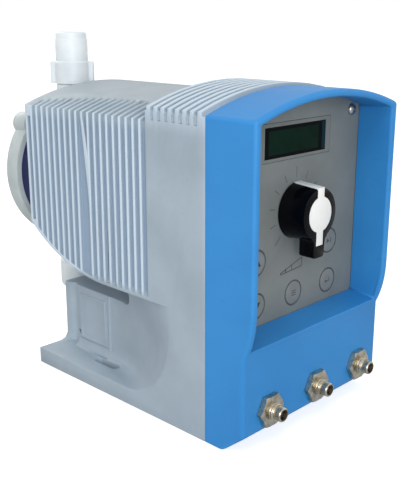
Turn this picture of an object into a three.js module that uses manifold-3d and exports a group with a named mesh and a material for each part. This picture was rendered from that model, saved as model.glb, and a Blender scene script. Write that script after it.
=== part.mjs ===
// Diaphragm metering pump with a solenoid drive, about 160 x 309 x 276 mm.
// The cast housing stands on its foot. The blue hood with the control panel is on its front,
// the white liquid end with the suction and discharge valves is on its rear.
// Millimetres, +Z up, +X to the right seen from the front, +Y to the rear.
// The origin is the centre of the underside of the foot.
import * as THREE from 'three';
import { mergeVertices } from 'three/addons/utils/BufferGeometryUtils.js';
import Module from 'manifold-3d';

const wasm = await Module();
wasm.setup();

// Clearances
const GAP = 0.3;
const SCREW_CLEARANCE = 0.35;

// Housing: y is measured from its front rim, which meets the hood
const WIDTH = 160;
const HALF_WIDTH = WIDTH / 2;
const FOOT_LENGTH = 198;
const FOOT_THICKNESS = 13.4;
const BODY_LENGTH = 200;
const FRONT_BLOCK_LENGTH = 57;
const ARCH_RADIUS = 234;
const HOOD_CROWN = 243.4;
const ARCH_CENTRE = HOOD_CROWN - ARCH_RADIUS;
const RIDGE_COUNT = 8;
const RIDGE_PITCH = 6.9;
const RIDGE_WIDTH = 3.6;
const RIDGE_HEIGHT = 3;
const RIDGE_FLOOR_CROWN = HOOD_CROWN - 1;
const NOTCH_DEPTH = 1.6;
const NOTCH_FOOT = 21;
const FIRST_RIDGE_Y = 5.2;
const REAR_STEP = 6.6;
const REAR_CROWN = HOOD_CROWN - REAR_STEP;
const REAR_ARCH_RADIUS = 223.6;
const REAR_ARCH_CENTRE = REAR_CROWN - REAR_ARCH_RADIUS;

// Underside of the rear body, an arc in side view, and the pedestal below it
const BELLY_LOW_Y = 105;
const BELLY_LOW_Z = 91.5;
const BELLY_RISE = 34.51436;
const BELLY_RADIUS = ((BODY_LENGTH - BELLY_LOW_Y) ** 2 + BELLY_RISE ** 2) / (2 * BELLY_RISE);
const BELLY_CENTRE_Z = BELLY_LOW_Z + BELLY_RADIUS;
const SADDLE_START_Y = 108;
const SADDLE_CORNER = 6;
const PEDESTAL_TOP = 67;
const PEDESTAL_SETBACK = 30;
const PEDESTAL_HALF_WIDTH = HALF_WIDTH - PEDESTAL_SETBACK;
const PEDESTAL_FRONT_Y = 137;
const SCOOP_FRONT_Y = 34;
const SCOOP_TOP_Z = 75;
const SCOOP_FOOT_Y = 80;
const SCOOP_FILLET = 7;

// Cooling fins on both sides of the rear body
const FIN_COUNT = 19;
const FIN_PITCH = 7.17;
const FIN_CREST = 2.2;
const FIN_DEPTH = 3;
const REAR_FIN_Y = BODY_LENGTH - 7.8;
const FIN_LIP = 2.5;
const FIN_RUNOUT = 9;
const SHOULDER = 30;
const SHOULDER_NARROWING = 17;
const NARROWING_START_Y = 117;
const NARROWING_LENGTH = 77;
const SLANTED_FIN = 10;
const SLANT_TOP_Z = 219;
const SLANT_FOOT_Z = 165;

// Foot slots and the web of the pedestal
const SLOT_INSET = 19;
const SLOT_X = HALF_WIDTH - SLOT_INSET;
const SLOT_FRONT_Y = 116;
const SLOT_REAR_Y = 143;
const SLOT_WIDTH = 7.5;
const CHANNEL_Y = 186;
const CHANNEL_RADIUS = 6;
const CHANNEL_DEPTH = 3;
const FRAME_FRONT_Y = 143;
const FRAME_REAR_Y = 177;
const FRAME_LOW_Z = 20;
const FRAME_HIGH_Z = 61;
const FRAME_RIM = 2.2;
const FRAME_HEIGHT = 1.2;

// Inside of the housing
const WALL = 8;
const BAY_DEPTH = 50;
const BAY_CROWN = HOOD_CROWN - WALL - 0.4;
const MAGNET_BORE_RADIUS = 56;
const MAGNET_BORE_END = 141;
const NECK_BORE_RADIUS = 30;
const NECK_BORE_END = BODY_LENGTH - WALL;
const SPIGOT_BORE_RADIUS = 22;
const POWER_BAY_HALF_WIDTH = PEDESTAL_HALF_WIDTH - WALL;
const POWER_BAY_LOW = 18;
const POWER_BAY_HIGH = 58;
const POWER_BAY_END = FOOT_LENGTH - 10;

// Drive axis, shared by the knob, the magnet and the liquid end
const AXIS_Z = 157;

// Hood
const HOOD_FRONT = -42.5;
const HOOD_LOWER_FRONT = -35.5;
const HOOD_CHIN_Y = -17.2;
const HOOD_CHIN_Z = 14.9;
const HOOD_LEDGE_Z = 73.2;
const CHEEK_FOOT_Z = 108;
const CHEEK_THICKNESS = 6;
const VISOR_THICKNESS = 5.2;
const RECESS_HALF_WIDTH = HALF_WIDTH - CHEEK_THICKNESS;
const RECESS_CROWN = HOOD_CROWN - VISOR_THICKNESS;
const HOOD_WALL = 4;
const HOOD_REAR_CROWN = HOOD_CROWN - HOOD_WALL - 0.4;
const SILL_FRONT_Z = 76.5;
const SILL_REAR_Z = 79.5;

// Control panel and what is on it
const PANEL_Y = -13;
const PANEL_THICKNESS = 3;
const PANEL_BACK = PANEL_Y + PANEL_THICKNESS;
const LCD_HALF_WIDTH = 38;
const LCD_LOW = 194.5;
const LCD_HIGH = 220.8;
const KEY_RADIUS = 8.7;
const KEY_TRAVEL = 0.7;
const KEY_PROUD = 0.5;
const KEYS = [
  ['key_up', -42, 126],
  ['key_down', -42, 94.5],
  ['key_menu', 0, 94.5],
  ['key_enter', 42, 94.5],
  ['key_start', 42, 126],
];
const SCREW_INSET = 16;
const SCREW_X = HALF_WIDTH - SCREW_INSET;
const SCREW_BELOW_ARCH = 11.47776430;
const SCREW_Z = ARCH_CENTRE + Math.sqrt(ARCH_RADIUS ** 2 - SCREW_X ** 2) - SCREW_BELOW_ARCH;
const SCREW_HEAD_RADIUS = 4.25;
const SCREW_SHANK_RADIUS = 2;
const BOARD_Y = -4.3;
const BOARD_THICKNESS = 1.6;

// Stroke knob and its spindle
const KNOB_BASE_RADIUS = 20.6;
const KNOB_FACE_RADIUS = 18.8;
const KNOB_FACE_Y = -34.6;
const KNOB_LUG_REACH = 31.5;
const KNOB_LUG_HALF_WIDTH = 6.2;
const KNOB_LUG_BACK_Y = -22;
const MARKER_HALF_WIDTH = 3.6;
const MARKER_DISC_RADIUS = 12.7;
const MARKER_THICKNESS = 1.8;
const MARKER_FOOT = 22.3;
const SPINDLE_RADIUS = 4;

// Signal sockets
const SOCKET_SPACING = 53.2;
const SOCKET_Z = 28.3;
const SOCKET_HEX = 22;
const SOCKET_COLLAR_RADIUS = 6.2;
const SOCKET_TIP_RADIUS = 5.1;
const SOCKET_BORE_RADIUS = 3.9;
const SOCKET_SHANK_RADIUS = 7.7;
const SOCKET_TIP_Y = -49.3;

// Magnet drive
const STROKE = 2;
const CAN_WALL = 6;
const CAN_FRONT = 56;
const CAN_REAR = MAGNET_BORE_END - GAP;
const ARMATURE_RADIUS = 17.5;
const ARMATURE_FRONT = 70;
const ARMATURE_REAR = 118;
const POLE_FRONT = 122;
const ROD_RADIUS = 4;

// Liquid end
const HEAD_SCREW_CIRCLE = 51;
const HEAD_SCREW_RADIUS = 3;
const HEAD_LOBE_RADIUS = 9;
const FLANGE_RADIUS = HEAD_SCREW_CIRCLE + 3;
const HEAD_RADIUS = HEAD_SCREW_CIRCLE + 15;
const FLANGE_RING_RADIUS = HEAD_RADIUS - 4.3;
const FLANGE_RING_Y = BODY_LENGTH + 16;
const HEAD_Y = BODY_LENGTH + 22;
const HEAD_REAR = HEAD_Y + 34;
const HEAD_RIM_THICKNESS = 17.4;
const HEAD_RIM_Y = HEAD_REAR - HEAD_RIM_THICKNESS;
const DIAPHRAGM_RADIUS = HEAD_SCREW_CIRCLE - 7;
const HEAD_CORE_RADIUS = DIAPHRAGM_RADIUS + 1;
const VALVE_Y = HEAD_Y + 19.2;
const HEAD_BOSS_RADIUS = HEAD_REAR - VALVE_Y;
const HEAD_BOSS_START = DIAPHRAGM_RADIUS;
const CHAMBER_RADIUS = DIAPHRAGM_RADIUS - 12;
const CHAMBER_END = HEAD_Y + 8;
const CORE_RADIUS = 10;
const BLEED_CIRCLE = HEAD_RADIUS - 3;
const BLEED_ANGLE = 137.6;
const BLEED_BOSS_RADIUS = 9.5;
const BLEED_RADIUS = 5;

// Valves, one above and one below the head on a common upright axis
const VALVE_NECK_RADIUS = 14.25;
const VALVE_THREAD_RADIUS = 11.7;
const VALVE_HEX = 32;
const UNION_SQUARE = 30.4;
const UNION_CORNER_RADIUS = 19.2;
const UNION_TURN = -40;
const VALVE_BORE = 4;
const SLEEVE_RADIUS = 12;
const BALL_RADIUS = 5;
const BALL_LIFT = 2;
const BALL_CHAMBER_RADIUS = 6.6;
const HEAD_TOP = AXIS_Z + HEAD_RADIUS + 1;
const HEAD_BOTTOM = AXIS_Z - HEAD_RADIUS - 1;
const UNION_LOW = HEAD_TOP + 7.3;
const UNION_GRIP_TOP = UNION_LOW + 19.7;
const UNION_TOP = UNION_GRIP_TOP + 25;
const SUCTION_NUT_LENGTH = 26;
const SUCTION_NUT_HIGH = HEAD_BOTTOM - 22;
const SUCTION_NUT_LOW = SUCTION_NUT_HIGH - SUCTION_NUT_LENGTH;
const SUCTION_NUT_RADIUS = VALVE_NECK_RADIUS + 4.25;

// A closed geometry as a solid that can be joined and cut
function solid(geometry) {
  const bare = geometry.clone();
  bare.deleteAttribute('normal');
  bare.deleteAttribute('uv');
  const welded = mergeVertices(bare, 1e-4);
  const corners = welded.index.array;
  const faces = [];
  for (let i = 0; i < corners.length; i += 3) {
    const face = [corners[i], corners[i + 1], corners[i + 2]];
    if (new Set(face).size === 3) faces.push(...face);
  }
  return new wasm.Manifold(new wasm.Mesh({
    numProp: 3,
    vertProperties: welded.attributes.position.array,
    triVerts: new Uint32Array(faces),
  }));
}

// A solid's faces as a geometry
function skin(body) {
  const faces = body.getMesh();
  const geometry = new THREE.BufferGeometry();
  geometry.setAttribute('position', new THREE.BufferAttribute(faces.vertProperties, 3));
  geometry.setIndex(new THREE.BufferAttribute(faces.triVerts, 1));
  const flat = geometry.toNonIndexed();
  flat.computeVertexNormals();
  return flat;
}

// Closed outline through points
function outline(points) {
  return new THREE.Shape(points.map(([a, b]) => new THREE.Vector2(a, b)));
}

function rectangle(a0, b0, a1, b1) {
  return outline([[a0, b0], [a1, b0], [a1, b1], [a0, b1]]);
}

// Outline (y, z) extruded along X
function alongX(shape, x0, x1, curveSegments = 8) {
  const geometry = new THREE.ExtrudeGeometry(shape, { depth: x1 - x0, bevelEnabled: false, curveSegments });
  const turn = new THREE.Matrix4().makeBasis(
    new THREE.Vector3(0, 1, 0), new THREE.Vector3(0, 0, 1), new THREE.Vector3(1, 0, 0));
  return solid(geometry.applyMatrix4(turn).translate(x0, 0, 0));
}

// Outline (x, z) extruded along Y
function alongY(shape, y0, y1, curveSegments = 8) {
  const geometry = new THREE.ExtrudeGeometry(shape, { depth: y1 - y0, bevelEnabled: false, curveSegments });
  return solid(geometry.rotateX(Math.PI / 2).translate(0, y1, 0));
}

// Outline (x, y) extruded along Z
function alongZ(shape, z0, z1, curveSegments = 8) {
  const geometry = new THREE.ExtrudeGeometry(shape, { depth: z1 - z0, bevelEnabled: false, curveSegments });
  return solid(geometry.translate(0, 0, z0));
}

function block(x0, x1, y0, y1, z0, z1) {
  const geometry = new THREE.BoxGeometry(x1 - x0, y1 - y0, z1 - z0);
  return solid(geometry.translate((x0 + x1) / 2, (y0 + y1) / 2, (z0 + z1) / 2));
}

// Round bar along Y, centred on (x, z)
function barY(radius, y0, y1, x = 0, z = 0, segments = 16) {
  const geometry = new THREE.CylinderGeometry(radius, radius, y1 - y0, segments);
  return solid(geometry.translate(x, (y0 + y1) / 2, z));
}

// Round bar along Z, centred on (x, y)
function barZ(radius, z0, z1, x = 0, y = 0, segments = 16) {
  const geometry = new THREE.CylinderGeometry(radius, radius, z1 - z0, segments);
  return solid(geometry.rotateX(Math.PI / 2).translate(x, y, (z0 + z1) / 2));
}

// Profile of [radius, y] turned about the Y axis
function turnedY(profile, segments = 20) {
  const points = profile.map(([r, y]) => new THREE.Vector2(r, y));
  return solid(new THREE.LatheGeometry(points, segments));
}

// Profile of [radius, z] turned about the Z axis
function turnedZ(profile, segments = 20) {
  const points = profile.map(([r, z]) => new THREE.Vector2(r, z));
  return solid(new THREE.LatheGeometry(points, segments).rotateX(Math.PI / 2));
}

// Tube between two radii: its profile closes on itself
function ring(inner, outer, from, to) {
  return [[inner, from], [outer, from], [outer, to], [inner, to], [inner, from]];
}

// Hexagon of a given width across flats, with flats above and below
function hexagon(acrossFlats) {
  const corner = acrossFlats / Math.sqrt(3);
  const points = [];
  for (let i = 0; i < 6; i += 1) {
    const angle = i * Math.PI / 3;
    points.push([corner * Math.cos(angle), corner * Math.sin(angle)]);
  }
  return outline(points);
}

// Flat-bottomed section with an arched top, in (x, z)
function archSection(halfWidth, low, crown, radius) {
  const spread = Math.asin(halfWidth / radius);
  const shape = new THREE.Shape();
  shape.moveTo(-halfWidth, low);
  shape.lineTo(halfWidth, low);
  shape.absarc(0, crown - radius, radius, Math.PI / 2 - spread, Math.PI / 2 + spread, false);
  return shape;
}

// Section with its arch about the common centre of hood and housing front
function commonArch(halfWidth, low, crown) {
  return archSection(halfWidth, low, crown, crown - ARCH_CENTRE);
}

function mirrored(body) {
  return body.add(body.mirror([1, 0, 0]));
}

const pump = new THREE.Group();
pump.name = 'metering_pump';
const onRim = new THREE.Group();
onRim.position.y = -FOOT_LENGTH / 2;
pump.add(onRim);
const onAxis = new THREE.Group();
onAxis.position.z = AXIS_Z;
onRim.add(onAxis);

function piece(group, name, body, finish, position = [0, 0, 0]) {
  const mesh = new THREE.Mesh(skin(body), new THREE.MeshStandardMaterial(finish));
  mesh.name = name;
  mesh.position.set(...position);
  group.add(mesh);
  return mesh;
}

const CAST_GREY = { color: 0x9dacb6, roughness: 0.55, metalness: 0.3 };
const HOOD_BLUE = { color: 0x3a88cc, roughness: 0.45, metalness: 0 };
const PANEL_GREY = { color: 0x6e7577, roughness: 0.5, metalness: 0 };
const KEY_GREY = { color: 0x7b8284, roughness: 0.5, metalness: 0 };
const KNOB_BLACK = { color: 0x08090c, roughness: 0.2, metalness: 0 };
const MARKER_WHITE = { color: 0xf6f8f8, roughness: 0.4, metalness: 0 };
const GLASS_GREEN = { color: 0x06241a, roughness: 0.1, metalness: 0 };
const NICKEL_BRASS = { color: 0xa99a83, roughness: 0.3, metalness: 1 };
const SCREW_STEEL = { color: 0xc9cbcc, roughness: 0.25, metalness: 1 };
const DARK_STEEL = { color: 0x5a5d60, roughness: 0.4, metalness: 1 };
const BRONZE = { color: 0xa07a45, roughness: 0.4, metalness: 1 };
const COPPER = { color: 0xa65b32, roughness: 0.4, metalness: 0.8 };
const RUBBER_BLACK = { color: 0x17181a, roughness: 0.8, metalness: 0 };
const SOCKET_BLACK = { color: 0x1c1815, roughness: 0.6, metalness: 0 };
const FLANGE_NAVY = { color: 0x1b2560, roughness: 0.5, metalness: 0 };
const LIQUID_WHITE = { color: 0xe4ecea, roughness: 0.4, metalness: 0 };
const BOARD_GREEN = { color: 0x1f5a38, roughness: 0.5, metalness: 0 };
const SEAT_GREY = { color: 0xb9bdb8, roughness: 0.5, metalness: 0 };
const CERAMIC = { color: 0xf0ede2, roughness: 0.2, metalness: 0 };

// Side view of the housing: foot, pedestal, saddle gap, belly arc, rear and top
function housingSide() {
  const shape = new THREE.Shape();
  const above = HOOD_CROWN + RIDGE_HEIGHT * 2;
  const rearReach = BODY_LENGTH - BELLY_LOW_Y;
  const startReach = SADDLE_START_Y - BELLY_LOW_Y;
  shape.moveTo(0, 0);
  shape.lineTo(FOOT_LENGTH, 0);
  shape.lineTo(FOOT_LENGTH, PEDESTAL_TOP);
  shape.lineTo(SADDLE_START_Y + SADDLE_CORNER, PEDESTAL_TOP);
  shape.absarc(SADDLE_START_Y + SADDLE_CORNER, PEDESTAL_TOP + SADDLE_CORNER, SADDLE_CORNER,
    -Math.PI / 2, -Math.PI, true);
  shape.absarc(BELLY_LOW_Y, BELLY_CENTRE_Z, BELLY_RADIUS,
    -Math.PI / 2 + Math.asin(startReach / BELLY_RADIUS),
    -Math.PI / 2 + Math.asin(rearReach / BELLY_RADIUS), false);
  shape.lineTo(BODY_LENGTH, above);
  shape.lineTo(0, above);
  return shape;
}

// Hollow beside the pedestal: its inner wall sweeps in from the side to the pedestal web
function scoop() {
  const across = 10;
  const rise = 9;
  const curvedRows = 7;
  const grid = new THREE.BoxGeometry(1, 1, 1, 1, across, rise);
  const place = grid.attributes.position;
  for (let i = 0; i < place.count; i += 1) {
    const inner = place.getX(i) > 0;
    const column = Math.round((place.getY(i) + 0.5) * across);
    const row = Math.round((place.getZ(i) + 0.5) * rise);
    const angle = Math.min(row / curvedRows, 1) * Math.PI / 2;
    const straight = Math.max(row - curvedRows, 0) / (rise - curvedRows);
    const startY = SCOOP_FOOT_Y - (SCOOP_FOOT_Y - SCOOP_FRONT_Y) * Math.sin(angle);
    const z = SCOOP_TOP_Z - (SCOOP_TOP_Z - FOOT_THICKNESS) * Math.cos(angle)
      + straight * (BELLY_LOW_Z - SCOOP_TOP_Z);
    const along = Math.min(column / (across - 1), 1);
    const sweep = along ** 1.5;
    const past = column === across ? FOOT_LENGTH + 20 - PEDESTAL_FRONT_Y : 0;
    const y = startY + sweep * (PEDESTAL_FRONT_Y - startY) + past;
    const quick = 1 - (1 - sweep) ** 2.2;
    const slow = sweep * sweep * (3 - 2 * sweep);
    const blend = THREE.MathUtils.smoothstep(z, SCOOP_TOP_Z - 30, BELLY_LOW_Z + 4);
    const height = THREE.MathUtils.clamp(z - FOOT_THICKNESS, 0, SCOOP_FILLET);
    const fillet = SCOOP_FILLET - Math.sqrt(SCOOP_FILLET ** 2 - (SCOOP_FILLET - height) ** 2);
    const depth = (quick * (1 - blend) + slow * blend) * (HALF_WIDTH - PEDESTAL_HALF_WIDTH - fillet);
    place.setXYZ(i, inner ? -HALF_WIDTH + depth : -HALF_WIDTH - 10, y, z);
  }
  return solid(grid);
}

// One cooling groove from the side over the shoulder to the smooth crown, in (x, z)
function grooveSection(low, y) {
  const floorRadius = REAR_ARCH_RADIUS - FIN_DEPTH;
  const beyond = HALF_WIDTH + 10;
  const narrowed = SHOULDER_NARROWING * Math.max(0, (y - NARROWING_START_Y) / NARROWING_LENGTH) ** 1.4;
  const crownHalf = HALF_WIDTH - SHOULDER + narrowed;
  const runout = crownHalf + FIN_RUNOUT;
  const points = [[-beyond, low], [-HALF_WIDTH + FIN_DEPTH, low]];
  const steps = 2;
  for (let i = 0; i <= steps; i += 1) {
    const x = -HALF_WIDTH + FIN_DEPTH + (HALF_WIDTH - FIN_DEPTH - runout) * i / steps;
    points.push([x, REAR_ARCH_CENTRE + Math.sqrt(floorRadius ** 2 - x ** 2)]);
  }
  const out = REAR_ARCH_CENTRE + Math.sqrt(REAR_ARCH_RADIUS ** 2 - crownHalf ** 2);
  points.push([-crownHalf, out + 1], [-crownHalf, REAR_CROWN + 10], [-beyond, REAR_CROWN + 10]);
  return outline(points);
}

function coolingGrooves() {
  const half = FIN_CREST / 2;
  const finY = (n) => REAR_FIN_Y - (n - 1) * FIN_PITCH;
  const cuts = [];
  const side = [-HALF_WIDTH - 10, -HALF_WIDTH + FIN_DEPTH];
  for (let n = 1; n <= FIN_COUNT; n += 1) {
    const last = n === FIN_COUNT;
    const front = last ? FRONT_BLOCK_LENGTH : finY(n + 1) + half;
    const rear = finY(n) - half;
    const besideSlant = n === SLANTED_FIN - 1 || n === SLANTED_FIN;
    cuts.push(alongY(grooveSection(besideSlant ? SLANT_TOP_Z : BELLY_LOW_Z, rear), front, rear));
  }
  const slantFoot = finY(SLANTED_FIN + 1) + half;
  const slantTop = finY(SLANTED_FIN);
  const lean = (slantTop - half - slantFoot) / (SLANT_TOP_Z - SLANT_FOOT_Z);
  cuts.push(alongX(outline([
    [slantFoot, BELLY_LOW_Z], [finY(SLANTED_FIN - 1) - half, BELLY_LOW_Z],
    [finY(SLANTED_FIN - 1) - half, SLANT_TOP_Z], [slantTop + half, SLANT_TOP_Z],
    [slantFoot + half, SLANT_FOOT_Z],
    [slantFoot, SLANT_FOOT_Z - half / lean],
  ]), ...side));
  cuts.push(alongX(outline([
    [slantFoot, SLANT_TOP_Z - (slantTop - half - slantFoot) / lean + FIN_CREST / lean],
    [slantTop - half, SLANT_TOP_Z], [slantFoot, SLANT_TOP_Z],
  ]), ...side));
  const grooves = wasm.Manifold.union(cuts);
  const lipRadius = BELLY_RADIUS - FIN_LIP;
  const above = new THREE.Shape();
  above.moveTo(0, BELLY_LOW_Z + FIN_LIP);
  above.lineTo(BELLY_LOW_Y, BELLY_LOW_Z + FIN_LIP);
  above.absarc(BELLY_LOW_Y, BELLY_CENTRE_Z, lipRadius,
    -Math.PI / 2, -Math.PI / 2 + Math.asin((BODY_LENGTH - BELLY_LOW_Y) / lipRadius), false);
  above.lineTo(BODY_LENGTH, REAR_CROWN + 20);
  above.lineTo(0, REAR_CROWN + 20);
  return mirrored(grooves.intersect(alongX(above, -HALF_WIDTH - 20, HALF_WIDTH, 8)));
}

// Details on the left web of the pedestal: a raised bare frame, an edge rib and a channel
function webDetails(body) {
  const x = -PEDESTAL_HALF_WIDTH;
  const frame = alongX(rectangle(FRAME_FRONT_Y, FRAME_LOW_Z, FRAME_REAR_Y, FRAME_HIGH_Z),
    x - FRAME_HEIGHT, x + 1).subtract(alongX(rectangle(FRAME_FRONT_Y + FRAME_RIM, FRAME_LOW_Z + FRAME_RIM,
      FRAME_REAR_Y - FRAME_RIM, FRAME_HIGH_Z - FRAME_RIM), x - FRAME_HEIGHT - 1, x + 2));
  const rib = barZ(1.2, FOOT_THICKNESS + 4, PEDESTAL_TOP, x, PEDESTAL_FRONT_Y + 1.2, 12);
  const channel = barZ(CHANNEL_RADIUS, FOOT_THICKNESS, PEDESTAL_TOP + 1,
    x - CHANNEL_RADIUS + CHANNEL_DEPTH, CHANNEL_Y, 16);
  return body.add(mirrored(frame.add(rib))).subtract(mirrored(channel));
}

// Notches where the grooves between the ridges run over the edge of the front block
function ridgeNotches() {
  const radius = (RIDGE_PITCH - RIDGE_WIDTH) / 2;
  const cuts = [];
  for (let i = 0; i < RIDGE_COUNT - 1; i += 1) {
    const y = FIRST_RIDGE_Y + (i + 0.5) * RIDGE_PITCH;
    cuts.push(barZ(radius, HOOD_CROWN - NOTCH_FOOT, HOOD_CROWN + 5, -HALF_WIDTH + radius - NOTCH_DEPTH, y, 8));
  }
  return mirrored(wasm.Manifold.union(cuts).intersect(
    block(-HALF_WIDTH - 5, -HALF_WIDTH + NOTCH_DEPTH, 0, FRONT_BLOCK_LENGTH, 0, HOOD_CROWN + 5)));
}

function footSlots() {
  const radius = SLOT_WIDTH / 2;
  const slot = new THREE.Shape();
  slot.absarc(-SLOT_X, SLOT_REAR_Y - radius, radius, 0, Math.PI, false);
  slot.absarc(-SLOT_X, SLOT_FRONT_Y + radius, radius, Math.PI, 2 * Math.PI, false);
  return mirrored(alongZ(slot, -1, FOOT_THICKNESS + 1, 4));
}

function housingHollows() {
  const bay = alongY(commonArch(HALF_WIDTH - WALL, FOOT_THICKNESS, BAY_CROWN), -1, BAY_DEPTH);
  const magnetBore = barY(MAGNET_BORE_RADIUS, BAY_DEPTH - 1, MAGNET_BORE_END, 0, AXIS_Z, 32);
  const neckBore = barY(NECK_BORE_RADIUS, MAGNET_BORE_END - 1, NECK_BORE_END, 0, AXIS_Z, 24);
  const spigotBore = barY(SPIGOT_BORE_RADIUS, NECK_BORE_END - 1, BODY_LENGTH + 1, 0, AXIS_Z, 24);
  const powerBay = block(-POWER_BAY_HALF_WIDTH, POWER_BAY_HALF_WIDTH, BAY_DEPTH - 1, POWER_BAY_END,
    POWER_BAY_LOW, POWER_BAY_HIGH);
  return wasm.Manifold.union([bay, magnetBore, neckBore, spigotBore, powerBay]);
}

const POWER_BOARD_Z = 24;
const POWER_BOARD_HALF_WIDTH = POWER_BAY_HALF_WIDTH - 2;
const POWER_BOARD_FRONT = 58;
const POWER_BOARD_REAR = POWER_BAY_END - 6;
const POST_INSET = 6;
const POST_X = POWER_BOARD_HALF_WIDTH - POST_INSET;
const POWER_POSTS = [POWER_BOARD_FRONT + 2 * POST_INSET, POWER_BOARD_REAR - 2 * POST_INSET]
  .flatMap((y) => [[-POST_X, y], [POST_X, y]]);
const GASKET_INSET = 1.5;
const GASKET_TOP_INSET = 2.2;
const GASKET_WIDTH = 2;
const GASKET_DEPTH = 1.9;
const SCREW_BOSS_RADIUS = 5;
const SCREW_BOSS_END = 20;

function housing() {
  const front = alongY(commonArch(HALF_WIDTH, 0, RIDGE_FLOOR_CROWN), 0, FRONT_BLOCK_LENGTH, 5);
  const ridges = [];
  for (let i = 0; i < RIDGE_COUNT; i += 1) {
    const y = FIRST_RIDGE_Y + i * RIDGE_PITCH;
    const section = commonArch(HALF_WIDTH, HOOD_CROWN - 20, RIDGE_FLOOR_CROWN + RIDGE_HEIGHT);
    ridges.push(alongY(section, y - RIDGE_WIDTH / 2, y + RIDGE_WIDTH / 2, 5));
  }
  const rear = alongY(archSection(HALF_WIDTH, 0, REAR_CROWN, REAR_ARCH_RADIUS),
    FRONT_BLOCK_LENGTH - 1, BODY_LENGTH);
  const hollow = mirrored(scoop());
  let body = wasm.Manifold.union([front, rear, ...ridges]).intersect(
    alongX(housingSide(), -HALF_WIDTH - 1, HALF_WIDTH + 1));
  body = webDetails(body.subtract(hollow)).subtract(coolingGrooves()).subtract(footSlots())
    .subtract(ridgeNotches());
  body = body.subtract(housingHollows());
  const bosses = barY(SCREW_BOSS_RADIUS, 0, SCREW_BOSS_END, -SCREW_X, SCREW_Z, 16);
  const posts = POWER_POSTS.map(([x, y]) => barZ(3, POWER_BAY_LOW - 1, POWER_BOARD_Z - GAP, x, y, 8));
  body = wasm.Manifold.union([body, mirrored(bosses), ...posts]);
  const screwHole = barY(SCREW_SHANK_RADIUS + SCREW_CLEARANCE, -1, SCREW_BOSS_END - 4, -SCREW_X, SCREW_Z, 10);
  return body.subtract(mirrored(screwHole)).subtract(gasket(GAP, -1));
}

// Seal between hood and housing, in a groove of the housing rim
function gasket(clearance, from) {
  const outset = GASKET_INSET - clearance;
  const inset = GASKET_INSET + GASKET_WIDTH + clearance;
  const outer = commonArch(HALF_WIDTH - outset, outset, HOOD_CROWN - GASKET_TOP_INSET + clearance);
  const inner = commonArch(HALF_WIDTH - inset, inset, HOOD_CROWN - GASKET_TOP_INSET - GASKET_WIDTH - clearance);
  const depth = GASKET_DEPTH + clearance;
  return alongY(outer, from, depth).subtract(alongY(inner, from - 1, depth + 1));
}

piece(onRim, 'drive_housing', housing(), CAST_GREY);
piece(onRim, 'hood_gasket', gasket(0, 0), RUBBER_BLACK);

// Hood
function hood() {
  const side = new THREE.Shape();
  side.moveTo(-GAP, 0);
  side.lineTo(-GAP, HOOD_CROWN + 10);
  side.lineTo(HOOD_FRONT, HOOD_CROWN + 10);
  side.lineTo(HOOD_FRONT, CHEEK_FOOT_Z);
  side.quadraticCurveTo(HOOD_FRONT, HOOD_LEDGE_Z + 15, HOOD_LOWER_FRONT, HOOD_LEDGE_Z);
  side.lineTo(HOOD_LOWER_FRONT, HOOD_CHIN_Z);
  side.lineTo(HOOD_CHIN_Y, 0);
  const outside = alongX(side, -HALF_WIDTH - 1, HALF_WIDTH + 1).intersect(
    alongY(commonArch(HALF_WIDTH, 0, HOOD_CROWN), HOOD_FRONT - 1, 0, 10));

  const seatY = PANEL_Y - GAP;
  const recess = alongX(outline([
    [HOOD_FRONT - 5, SILL_FRONT_Z - 1], [HOOD_LOWER_FRONT, SILL_FRONT_Z], [seatY + 1, SILL_REAR_Z],
    [seatY + 1, HOOD_CROWN + 5], [HOOD_FRONT - 5, HOOD_CROWN + 5],
  ]), -RECESS_HALF_WIDTH, RECESS_HALF_WIDTH).intersect(
    alongY(commonArch(RECESS_HALF_WIDTH, 0, RECESS_CROWN), HOOD_FRONT - 10, 0, 10));
  const innerHalf = HALF_WIDTH - HOOD_WALL;
  const behindPanel = alongY(commonArch(innerHalf, HOOD_WALL, HOOD_REAR_CROWN), seatY, 1, 10);
  const lower = alongX(outline([
    [seatY + 1, HOOD_WALL], [seatY + 1, SILL_REAR_Z - HOOD_WALL],
    [HOOD_LOWER_FRONT + HOOD_WALL, SILL_FRONT_Z - HOOD_WALL - 1],
    [HOOD_LOWER_FRONT + HOOD_WALL, HOOD_CHIN_Z + 2], [HOOD_CHIN_Y + 2, HOOD_WALL],
  ]), -innerHalf, innerHalf);
  const sockets = [-1, 0, 1].map((i) => barY(SOCKET_SHANK_RADIUS + GAP,
    HOOD_LOWER_FRONT - 1, HOOD_LOWER_FRONT + HOOD_WALL + 1, i * SOCKET_SPACING, SOCKET_Z, 16));
  return outside.subtract(wasm.Manifold.union([recess, behindPanel, lower, ...sockets]));
}

piece(onRim, 'front_hood', hood(), HOOD_BLUE);

// Control panel plate with its display opening, key holes, spindle hole, screw holes and board posts
const BOARD_HALF_WIDTH = SCREW_X - 8;
const BOARD_LOW = 84;
const BOARD_HIGH = 226;
const BOARD_POST_X = BOARD_HALF_WIDTH - 5;
const BOARD_POSTS = [BOARD_LOW + 28, BOARD_HIGH - 42].flatMap((z) => [[-BOARD_POST_X, z], [BOARD_POST_X, z]]);
const BOARD_POST_RADIUS = 3;
const KEY_HOLE_RADIUS = KEY_RADIUS + GAP;
const BUSH_RADIUS = SPINDLE_RADIUS + 2;

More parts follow.
